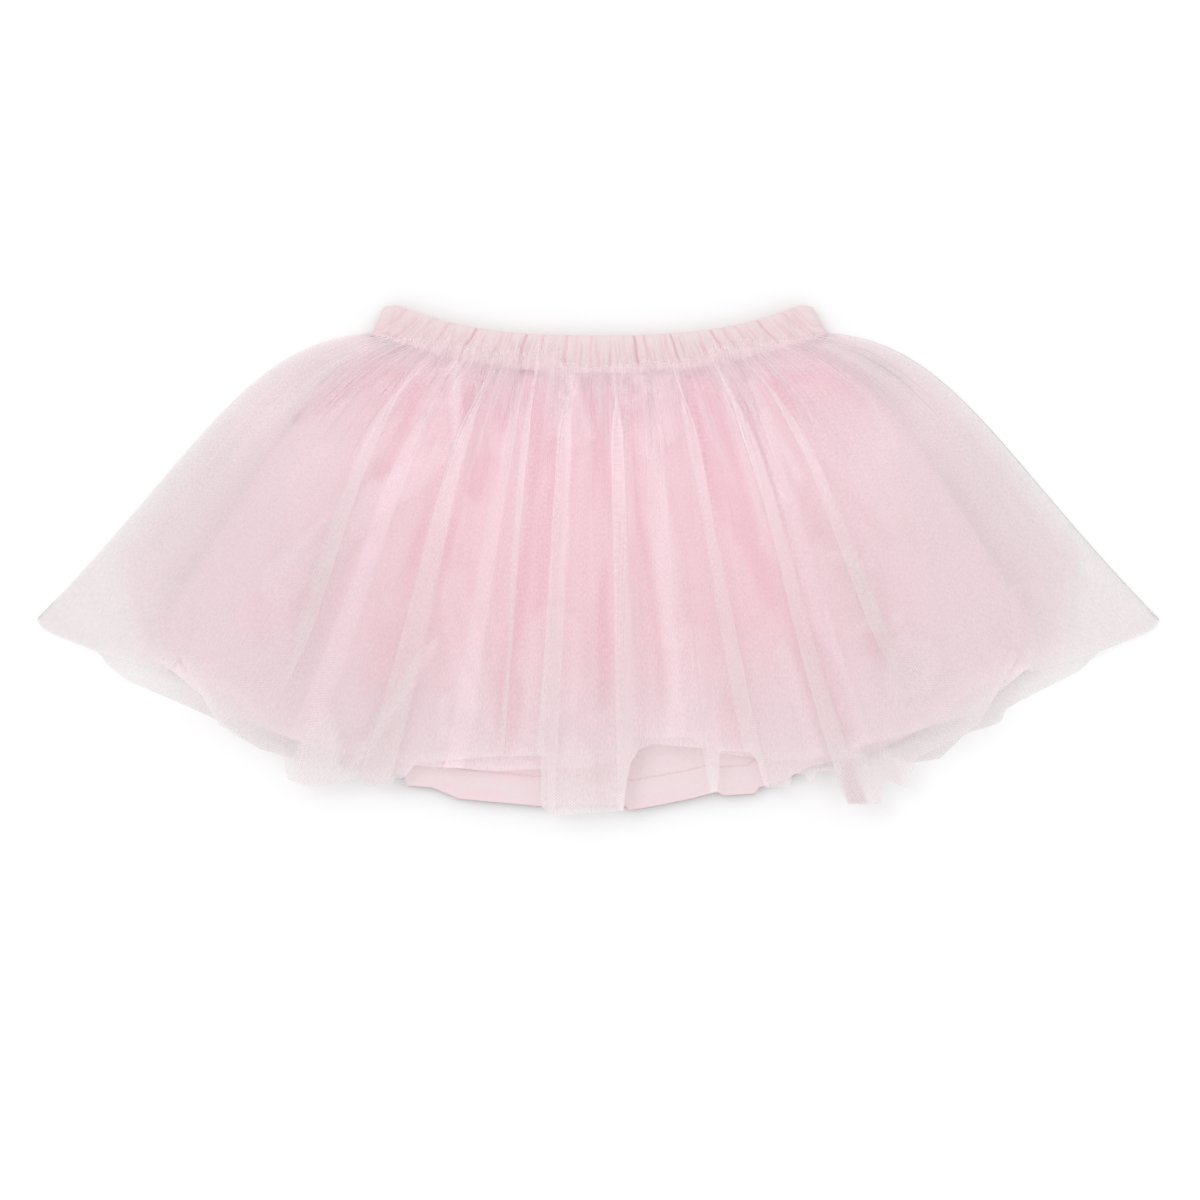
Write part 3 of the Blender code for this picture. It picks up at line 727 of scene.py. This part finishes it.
# How the layers thicken over the halves of the skirt, towards its side folds and along its cut edges, by the
# side and by how far down
CROWDED_ACROSS, CROWDED_DOWN = ((0.35, 0.7), (0.84, 0.92)), (0.1, 0.4)
EDGED_ACROSS, EDGED_DOWN = (0.86, 0.94), (0.35, 0.8)
EDGED_LEAST, EDGED_BEHIND = 0.35, 0.4
CUT_EDGE, CUT_EDGE_DOWN = 0.35, (0.988, 0.996)
CUT_EDGE_MIDDLE, CUT_EDGE_SIDES, CUT_EDGE_ACROSS = 0.4, 1.2, (0.75, 0.85)
FEWEST_LAYERS = 0.1


def net_layers(x, y, side, down, behind, parted, lapped, crowded, edged):
    """How many layers of its own net lie at every point of a tube."""
    strength = np.abs(side)
    own = parted * layers_at(x, y, PARTINGS) + lapped * layers_at(x, y, OVERLAPS)
    layers = 1 + np.where(behind, 0, own)
    layers = layers + crowded * between(*CROWDED_ACROSS, strength) * soft_step(*CROWDED_DOWN, down)
    towards_waist = EDGED_LEAST + 1 - soft_step(*EDGED_DOWN, down)
    towards_waist = towards_waist * np.where(behind, EDGED_BEHIND, 1)
    layers = layers + edged * soft_step(*EDGED_ACROSS, strength) * towards_waist
    along_edge = CUT_EDGE_MIDDLE + CUT_EDGE_SIDES * soft_step(*CUT_EDGE_ACROSS, strength)
    return layers + CUT_EDGE * soft_step(*CUT_EDGE_DOWN, down) * along_edge


def surface_lean(points):
    """How level the cloth lies at every point of a grid, from 1 for level to 0 for upright."""
    along = np.gradient(points, axis=1)
    down = np.gradient(points, axis=0)
    normal = np.cross(down, along)
    return np.abs(normal[..., 2]) / np.maximum(np.linalg.norm(normal, axis=2), 1e-12)


# A leaning cloth hides more, down to this lean, but not where it turns over at the sides.
MOST_LEAN, SIDE_LEAN, SIDE_LEANING = 0.5, 0.95, (0.92, 0.97)
HEM_CLEARNESS, HEM_THICKENING, HEM_THICK_ACROSS = 0.72, (0.7, 1.0), (0.75, 0.9)
HEADING_SHOWING = (0.5, 1.0)
SIDE_FADE, SIDE_FADING = 0.85, (0.980, 0.994)
STREAKINESS, STREAKS_PER_METRE, STREAK_TURNING, STREAK_SEED = 0.03, 70, 2, 9


def net_cover(points, layers, streak, across, side, down, through, front, cover, fades):
    """How much the net hides at every point, from 0 to 1. A tube that fades hides less at its side folds."""
    lean = np.clip(surface_lean(points), MOST_LEAN, 1)
    lean = np.maximum(lean, SIDE_LEAN * soft_step(*SIDE_LEANING, np.abs(across)))
    thick = soft_step(*HEM_THICKENING, down) * (1 - soft_step(*HEM_THICK_ACROSS, np.abs(side)))
    clear = (1 - cover) * (1 - (1 - HEM_CLEARNESS) * thick)
    hidden = 1 - clear ** (np.maximum(layers, FEWEST_LAYERS) * streak / lean)
    showing = 1 - front * (1 - soft_step(*HEADING_SHOWING, through))
    if fades:
        showing = showing * (1 - SIDE_FADE * soft_step(*SIDE_FADING, np.abs(across)))
    return hidden * showing


OPENING_DOWN, OPENING_ACROSS, OPENED_MIDDLE = (0.08, 0.72), (0.2, 0.7), 0.72
OPENED_SIDES, OPENED_SIDES_ACROSS, OPENED_SIDES_DOWN = 0.6, (0.4, 0.9), (0.0, 0.25)
TAB_LAYERS, TAB_DOWN, TAB_ACROSS = (1.8, 4.5), (0.8, 0.95), (0.75, 0.85)


def net_tones(layers, side, down):
    """How far the net has its colour at the hem, and how far that of a hem tab that lies in many layers."""
    strength = np.abs(side)
    opened = soft_step(*OPENING_DOWN, down)
    opened = opened * (OPENED_MIDDLE + (1 - OPENED_MIDDLE) * soft_step(*OPENING_ACROSS, strength))
    sides = soft_step(*OPENED_SIDES_ACROSS, strength) * soft_step(*OPENED_SIDES_DOWN, down)
    tab = soft_step(*TAB_LAYERS, layers - 1) * soft_step(*TAB_DOWN, down)
    tab = tab * (1 - soft_step(*TAB_ACROSS, strength))
    return np.maximum(opened, OPENED_SIDES * sides), tab


NET_LENGTH = 0.225


def tulle_tube(name, widest, sizes, hems, folds, fold_height, gathers, below_solid, heading, cover,
               layering, finish):
    """One gathered tube of net, laid on its two solids, that rests on a piece.

    widest is its side fold's place in the fan. sizes are its columns in front and behind, and its rows. hems
    are those of its front and its back. cover is how much one layer hides, and layering is how much of each
    cause of more layers it has.
    """
    columns, back_columns, rows = sizes
    seed = heading["seed"]
    cloth, row, column = cut_cloth(columns + back_columns, rows)
    across, behind = tube_places(columns, back_columns)
    down, through, front = tube_rows(across, behind, rows)
    held = soft_step(0, SIDE_BLEND, 1 - np.abs(across))
    shift, lift = pulled(across, behind, down, folds, fold_height, gathers)
    side = widest * np.clip(across + held * shift, -1, 1)
    front_share, back_share = (share_at_hem(side[-1], hem) for hem in hems)
    hem_share = np.where(behind, back_share, front_share)
    share = hem_share * down
    x, y = fold_line(side, share)
    puff = heading_puff(side, through, front, heading["size"], seed)
    y = y + puff
    x = x - HEADING_NARROWING * side * puff
    settling = 1 - soft_step(*HEADING_SETTLING, down)
    loft = heading["loft"] * soft_step(*HEADING_LOFTING, through) * settling * front
    z = tube_heights(name, x, y, side, across, behind, down, front, below_solid, loft) + held * lift
    points = np.stack([x, y, z], axis=2)
    long = np.concatenate([[0], np.cumsum(np.linalg.norm(np.diff(points[-1], axis=0), axis=1))])
    streak = 1 + STREAKINESS * uneven(STREAKS_PER_METRE * long + STREAK_TURNING * share, seed + STREAK_SEED)
    layers = net_layers(x, y, side, down, behind, **layering)
    opened, tab = net_tones(layers, side, down)
    hidden = net_cover(points, layers, streak, across, side, down, through, front, cover, fades=widest < 1)
    cut = np.stack([long + 0 * share, NET_LENGTH * share - puff], axis=2)
    values = {"cover": hidden, "opened": opened, "tab": tab}
    piece = sewn(name, cloth, row, column, points, cut, values, finish)
    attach(piece, "root")
    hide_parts(name + "_front", name + "_back")


# Across from the centre line and down from the middle of the waist seam, in millimetres
INNER_HEM = (
    (-226, 92), (-216.8, 105.5), (-209.2, 125.9), (-203.5, 140), (-150, 164), (-100, 171), (-50, 173),
    (0, 174), (50, 172), (100, 168), (150, 162), (203.5, 140), (209.2, 125.9), (216.8, 105.5), (226, 92),
)
MIDDLE_HEM = (
    (-230, 74), (-228.2, 78.4), (-224, 102.1), (-220.2, 130.6), (-203.5, 139), (-178, 160), (-148, 172),
    (-118, 180), (-96, 184), (-80, 186), (-66, 186.5), (-46, 188), (-30, 187), (0, 186), (14, 181),
    (17, 171.5), (45, 172), (48, 176), (57, 179), (59, 180), (74, 181.5), (76, 183), (100, 183), (118, 178),
    (148, 170), (178, 160), (203.5, 139), (220.2, 130.6), (224, 102.1), (228.2, 78.4), (230, 74),
)
LEFT_TIP = ((-266.7, 114), (-266, 118), (-263.5, 121), (-258, 123.8), (-238, 131.6))
RIGHT_TIP = [(-across, down) for across, down in reversed(LEFT_TIP)]
OUTER_HEM = (
    *LEFT_TIP, (-203.5, 141.5), (-198, 133.5), (-178.8, 166), (-168, 173), (-148, 181.5), (-147, 191.7),
    (-141.8, 193.6), (-133.2, 195.3), (-121.8, 193.6), (-115, 191.7), (-105.7, 194.5), (-97.5, 195),
    (-96.2, 191.3), (-91.5, 191.3), (-86, 184), (-53, 181), (-24, 180.5), (-27, 204.6), (-21, 209),
    (-1, 207.5), (12, 206.5), (12.3, 197.4), (15, 184), (19, 177.5), (26, 175), (49.5, 177), (50, 198.5),
    (56.2, 197.5), (56.8, 178), (71, 179), (75, 183), (78.5, 195.5), (90.3, 195.8), (91, 189.5), (97, 189),
    (98.6, 194), (102, 193.5), (103, 188), (110.9, 187.5), (111.6, 190), (117, 203.3), (133, 203.3),
    (134, 191), (145.1, 196), (150, 181.5), (168, 173), (178.8, 166), (198, 133.5), (203.5, 141.5),
    *RIGHT_TIP,
)
OUTER_BACK_HEM = (
    *LEFT_TIP, (-233.2, 138), (-224, 145.6), (-205.4, 153.4), (-191.6, 159.5), (-179.3, 165),
    (-174.7, 168.8), (-168.5, 173.4), (-160.8, 178), (-146.5, 182), (-96, 188), (-60, 196), (0, 199),
    (60, 196), (96, 188), (146.5, 185), (162.2, 182.6), (168.4, 176.5), (174.5, 170.5), (185.3, 167.5),
    (191.5, 165), (193, 159.5), (200.7, 155), (213, 148.7), (228.5, 141), *RIGHT_TIP,
)

# The gathers are fine ones that fade out halfway down, and broader ones below them: the count, seed, overlap,
# height and fading of each.
tulle_tube(
    "tulle_inner",
    widest=0.935,
    sizes=(520, 280, 64),
    hems=(INNER_HEM, INNER_HEM),
    folds=INNER_FOLDS,
    fold_height=0.0004,
    gathers=((48, 11, 3.4, 0.00045, 0.42), (22, 12, 0.7, 0.0003, 0.9)),
    below_solid=0.0016,
    heading={"size": 0.3, "loft": 0.0006, "seed": 1},
    cover=0.36,
    layering={"parted": 1.4, "lapped": 0.3, "crowded": 0.8, "edged": 0.6},
    finish=net_finish(
        "inner_net", at_waist=(0.995, 0.90, 0.93, 1), at_hem=(0.93, 0.86, 0.885, 1),
        through=(0.99, 0.91, 0.935, 1),
    ),
)
tulle_tube(
    "tulle_middle",
    widest=0.985,
    sizes=(520, 280, 64),
    hems=(MIDDLE_HEM, MIDDLE_HEM),
    folds=MIDDLE_FOLDS,
    fold_height=0.0004,
    gathers=((52, 21, 3.4, 0.00045, 0.42), (24, 22, 0.7, 0.0003, 0.9)),
    below_solid=0.0013,
    heading={"size": 0.7, "loft": 0.0010, "seed": 2},
    cover=0.36,
    layering={"parted": 1.4, "lapped": 0.6, "crowded": 0.5, "edged": 1.6},
    finish=net_finish(
        "middle_net", at_waist=(0.995, 0.90, 0.93, 1), at_hem=(0.93, 0.86, 0.885, 1),
        through=(0.985, 0.91, 0.935, 1),
    ),
)
tulle_tube(
    "tulle_outer",
    widest=1.0,
    sizes=(720, 320, 76),
    hems=(OUTER_HEM, OUTER_BACK_HEM),
    folds=OUTER_FOLDS,
    fold_height=0.0005,
    gathers=((64, 31, 3.2, 0.0003, 0.34), (30, 32, 0.7, 0.00022, 0.8)),
    below_solid=0.0010,
    heading={"size": 1.0, "loft": 0.0020, "seed": 3},
    cover=0.38,
    layering={"parted": 0.0, "lapped": 0.8, "crowded": 0.0, "edged": 0.85},
    finish=net_finish(
        "outer_net", at_waist=(0.99, 0.90, 0.93, 1), at_hem=(0.79, 0.75, 0.752, 1),
        through=(0.95, 0.90, 0.91, 1),
    ),
)

# ---- Waistband -----------------------------------------------------------------------------------
# A ring of the same cotton as the lining, but paler, folded over a 20 mm elastic and gathered on it, so that
# it is all small uneven creases. Laid flat, its front half lies on its back half. The skirt hangs from its
# open lower edge.

BAND_CUT = (0.50, 0.040)
BAND_DEPTH = 0.018
BAND_TOP_HALF = 0.203 / 2
BAND_TOP_RISE, BAND_TOP_BOW = 0.0172, 2.8
BAND_MIDDLE_Z = (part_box("waistband_back")[1].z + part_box("waistband_front")[0].z) / 2
BAND_HALF_THICK = 0.0021
BAND_TURN = 0.0025
BAND_CORNER, BAND_CORNER_START = 0.0035, 0.90
BAND_COLUMNS, BAND_TURN_COLUMNS, BAND_ROWS = 760, 16, 30

# The creases that show most: where each is at mid height, from -1 to 1, how deep it is, from 0 to 1, which
# also sets how much painted shade it gets, how wide, and the heights between which it runs, as shares of the
# band's depth.
CREASES = (
    (-0.93, 0.5, 0.008, 0.1, 1), (-0.86, 0.6, 0.007, 0, 0.9), (-0.8, 0.5, 0.006, 0.2, 1),
    (-0.72, 0.6, 0.007, 0, 1), (-0.655, 0.5, 0.006, 0, 0.7), (-0.59, 1, 0.006, 0, 1),
    (-0.53, 0.6, 0.008, 0, 0.6), (-0.46, 0.4, 0.007, 0.2, 1), (-0.415, 0.4, 0.005, 0.3, 1),
    (-0.348, 1, 0.006, 0, 1), (-0.262, 0.6, 0.006, 0.3, 1), (-0.2, 0.3, 0.005, 0.5, 1),
    (-0.152, 0.6, 0.007, 0, 1), (-0.102, 0.4, 0.005, 0.2, 1), (-0.034, 0.5, 0.006, 0, 1),
    (0, 0.6, 0.006, 0, 0.6), (0.052, 0.7, 0.005, 0, 0.6), (0.085, 0.4, 0.005, 0, 0.5),
    (0.12, 0.4, 0.005, 0.2, 1), (0.172, 1, 0.006, 0, 1), (0.22, 0.7, 0.005, 0.3, 1),
    (0.27, 0.3, 0.006, 0, 0.4), (0.319, 0.5, 0.005, 0, 1), (0.349, 0.9, 0.005, 0, 1),
    (0.4, 0.4, 0.009, 0, 0.4), (0.473, 0.8, 0.008, 0, 0.7), (0.545, 0.9, 0.006, 0, 1),
    (0.6, 0.6, 0.008, 0.3, 1), (0.66, 0.5, 0.007, 0.2, 1), (0.71, 0.3, 0.006, 0.4, 1),
    (0.767, 0.8, 0.006, 0, 1), (0.83, 0.5, 0.007, 0, 0.8), (0.89, 0.6, 0.007, 0.2, 1),
    (0.94, 0.4, 0.007, 0, 1),
)
CREASE_LEAN = 0.045
CREASE_WAVE, CREASE_WAVES_UP, CREASE_WAVES_ACROSS = 0.0015, 9, 40
CREASE_DEPTH, CREASE_SHORTENING = 0.0007, 0.0004
RUNNING_IN, RUNNING_OUT = 0.12, 0.15
SMALL_CREASES, SMALL_WIDTH, SMALL_WANDER = 118, 0.0042, 0.6
SMALL_DEEP, SMALL_DEEP_CHANGE = 0.36, 0.3
RAISED_SHARE, RAISED_START = 0.6, 0.35
SHORTEST_SMALL = 0.55
SMALL_SEEDS = ((0.37, 3), (0.71, 5), (0.53, 7))


def small_creases(seed):
    """Rows like those of CREASES for the many small creases between them."""
    for number in range(SMALL_CREASES):
        wander, strong, tall = (float(uneven(number * rate, seed + more)) for rate, more in SMALL_SEEDS)
        tall = 0.5 + 0.5 * tall
        place = (2 * number + 1) / SMALL_CREASES - 1 + SMALL_WANDER * wander / SMALL_CREASES
        low = 0.0 if tall < RAISED_SHARE else RAISED_START
        high = SHORTEST_SMALL + (1 - SHORTEST_SMALL) * tall
        yield place, SMALL_DEEP + SMALL_DEEP_CHANGE * strong, SMALL_WIDTH, low, high


def creased(side, rise, placed, seed):
    """How deep the creases of the casing are, from 0 to 1, at a side and a rise from its seam to its top."""
    depth = 0 * side * rise
    for place, deep, width, low, high in (*placed, *small_creases(seed)):
        path = place * (1 - CREASE_LEAN * (2 * rise - 1))
        path = path + CREASE_WAVE * np.sin(CREASE_WAVES_UP * rise + CREASE_WAVES_ACROSS * place)
        run = soft_step(low - RUNNING_IN, low + RUNNING_IN, rise) if low > 0 else 1.0
        run = run * (1 - soft_step(high - RUNNING_OUT, high + RUNNING_OUT, rise)) if high < 1 else run
        depth = np.maximum(depth, deep * run * np.exp(-(((side - path) / width) ** 2)))
    return depth


BAND_PALE, BAND_PALEST = (0.665, 0.54, 0.552, 1), (0.715, 0.605, 0.607, 1)
# Painted shade: the crease colour is a deeper pink that is also darker, and the darkening stands in for the
# shade in the creases and along the lower seam.
BAND_CREASE_PINK_AND_SHADE, BAND_CREASE_PINK_AND_SHADE_SHARE = (0.66, 0.38, 0.44, 1), 0.8


def band_finish():
    """Pale cotton with a fine weave. Its creases and its lower seam take a deeper, darker pink: part the
    cloth's own pink, part painted shade.
    """
    material, shader, start = new_finish("waistband_cotton", roughness=0.85, sheen=0.2)
    pale = mixed(start, streaks(start, across=260.0, along=60.0), BAND_PALE, BAND_PALEST)
    # Painted shade: creases and the lower seam mix towards the darker crease colour.
    crease_and_shade = (painted(start, "crease_and_shade") * BAND_CREASE_PINK_AND_SHADE_SHARE).clamped()
    mixed(start, crease_and_shade, pale, BAND_CREASE_PINK_AND_SHADE).feed(shader, "Base Color")
    add_weave(start, shader, strength=0.2)
    return material


def band_ring():
    """Where every column of the ring is: its side from -1 to 1 and its outward direction."""
    end = 1 - (BAND_TURN + BAND_HALF_THICK) / BAND_TOP_HALF
    straight = np.linspace(-end, end, BAND_COLUMNS + 1)
    turn = np.linspace(0, math.pi, BAND_TURN_COLUMNS + 2)[1:-1]
    at_end = np.full(BAND_TURN_COLUMNS, end)
    side = np.concatenate([straight, at_end, straight[::-1], -at_end])
    flat = np.zeros(BAND_COLUMNS + 1)
    angle = np.concatenate([flat, turn, flat + math.pi, turn + math.pi])
    return np.append(side, side[0])[None, :], np.append(angle, 2 * math.pi)[None, :]


def band_section():
    """The casing's section, up its outer face, over its top edge and down its inner face.

    It gives how far along the cut, how far up and how far out from the middle of the casing every row is.
    """
    level = BAND_DEPTH - BAND_HALF_THICK
    arc = math.pi * BAND_HALF_THICK
    run = np.linspace(0, 1, BAND_ROWS + 1)[:, None] * (2 * level + arc)
    bend = np.clip((run - level) / BAND_HALF_THICK, 0, math.pi)
    over_top = level + BAND_HALF_THICK * np.sin(bend)
    up = np.where(run < level, run, np.where(run < level + arc, over_top, 2 * level + arc - run))
    return run, up, BAND_HALF_THICK * np.cos(bend)


BACK_CREASES_SEED = 9
# How much of the darker crease colour, with its painted shade, lies along the lower seam, and the rise over
# which it fades.
SEAM_PINK_AND_SHADE, SEAM_PINK_AND_SHADE_UP = 0.45, (0.0, 0.2)
PILLOW, PILLOW_WAVES, PILLOW_TURNING, PILLOW_SEED = 0.0003, 24, 0.4, 4
INSIDE_RELIEF, BACK_RELIEF, RELIEF_STARTING = 0.3, 0.5, 6


def waistband():
    """The gathered ring, laid on its two solids."""
    side, angle = band_ring()
    run, up, outer = band_section()
    cloth, row, column = cut_cloth(side.size - 1, BAND_ROWS)
    rise = up / BAND_DEPTH
    behind = np.isclose(angle, math.pi)
    crease_and_shade = np.where(behind, creased(side, rise, (), BACK_CREASES_SEED), creased(side, rise, CREASES, 0))
    # The share of the darker crease colour at every point: painted shade in the creases and along the lower
    # seam, with the cloth's deeper pink.
    crease_and_seam_shade = np.maximum(crease_and_shade, SEAM_PINK_AND_SHADE * (1 - soft_step(*SEAM_PINK_AND_SHADE_UP, rise)))
    facing = np.where(outer > 0, 1.0, INSIDE_RELIEF) * np.where(behind, BACK_RELIEF, 1.0)
    pillow = PILLOW * uneven(side * PILLOW_WAVES + PILLOW_TURNING * rise, PILLOW_SEED)
    outer = outer + facing * (pillow - CREASE_DEPTH * crease_and_shade) * np.clip(rise * RELIEF_STARTING, 0, 1)
    strength = np.abs(side)
    corner = BAND_CORNER * soft_step(BAND_CORNER_START, 1.0, strength) ** 2
    low = SEAM_MIDDLE_Y + SEAM_RISE * strength**SEAM_BOW
    high = SEAM_MIDDLE_Y + BAND_DEPTH + BAND_TOP_RISE * strength**BAND_TOP_BOW - corner
    y = low + (high - low) * rise - CREASE_SHORTENING * crease_and_shade * rise
    x = (SEAM_HALF + (BAND_TOP_HALF - SEAM_HALF) * rise) * side + (BAND_TURN + outer) * np.sin(angle)
    z = BAND_MIDDLE_Z + (BAND_TURN + outer) * np.cos(angle)
    points = np.stack([x, y, z], axis=2)
    across = np.linspace(0, BAND_CUT[0], side.size)[None, :]
    cut = np.stack([across + 0 * run, run + 0 * across], axis=2)
    piece = sewn("waistband", cloth, row, column, points, cut, {"crease_and_shade": crease_and_seam_shade}, band_finish())
    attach(piece, "root")
    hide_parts("waistband_front", "waistband_back")


waistband()

# ---- Floor, light and camera ---------------------------------------------------------------------
# A white floor under the skirt, soft white light all round, and a large soft lamp to the left. The camera
# looks straight down.

FLOOR_HALF = 4.0
FLOOR_WHITE = (0.82, 0.82, 0.82, 1)
LIGHT_ALL_ROUND = 1.17
LAMP_STRENGTH, LAMP_SOFTNESS = 0.38, math.radians(30)
LAMP_DIRECTION = (0.6, -0.5, -1.0)
IMAGE_SIDE = 1200
METRES_PER_PIXEL = 0.000475
PIXELS_OF_MIDDLE = (598.5, 559.0)
LENS, SENSOR = 100.0, 36.0

scene = bpy.context.scene
floor_shape = bmesh.new()
bmesh.ops.create_grid(floor_shape, x_segments=1, y_segments=1, size=FLOOR_HALF)
floor_white, floor_shader, _ = new_finish("floor_white", roughness=0.9, sheen=0.0)
floor_shader.inputs["Base Color"].default_value = FLOOR_WHITE
floor = laid("floor", floor_shape, floor_white)

world = bpy.data.worlds.new("soft_light")
scene.world = world
world.use_nodes = True
background = world.node_tree.nodes["Background"].inputs
background["Color"].default_value = (1, 1, 1, 1)
background["Strength"].default_value = LIGHT_ALL_ROUND

lamp_data = bpy.data.lights.new("lamp", "SUN")
lamp_data.energy = LAMP_STRENGTH
lamp_data.angle = LAMP_SOFTNESS
lamp = bpy.data.objects.new("lamp", lamp_data)
lamp.rotation_euler = Vector(LAMP_DIRECTION).to_track_quat("-Z", "Y").to_euler()
scene.collection.objects.link(lamp)

camera_data = bpy.data.cameras.new("camera")
camera_data.lens = LENS
camera_data.sensor_width = SENSOR
camera = bpy.data.objects.new("camera", camera_data)
camera.location = (
    (IMAGE_SIDE / 2 - PIXELS_OF_MIDDLE[0]) * METRES_PER_PIXEL,
    (PIXELS_OF_MIDDLE[1] - IMAGE_SIDE / 2) * METRES_PER_PIXEL,
    IMAGE_SIDE * METRES_PER_PIXEL * LENS / SENSOR,
)
scene.collection.objects.link(camera)
scene.camera = camera
scene.view_settings.view_transform = "Standard"
# Light passes through many layers of net.
scene.cycles.transparent_max_bounces = 32
scene.cycles.max_bounces = 20
scene.cycles.diffuse_bounces = 8
scene.cycles.transmission_bounces = 16
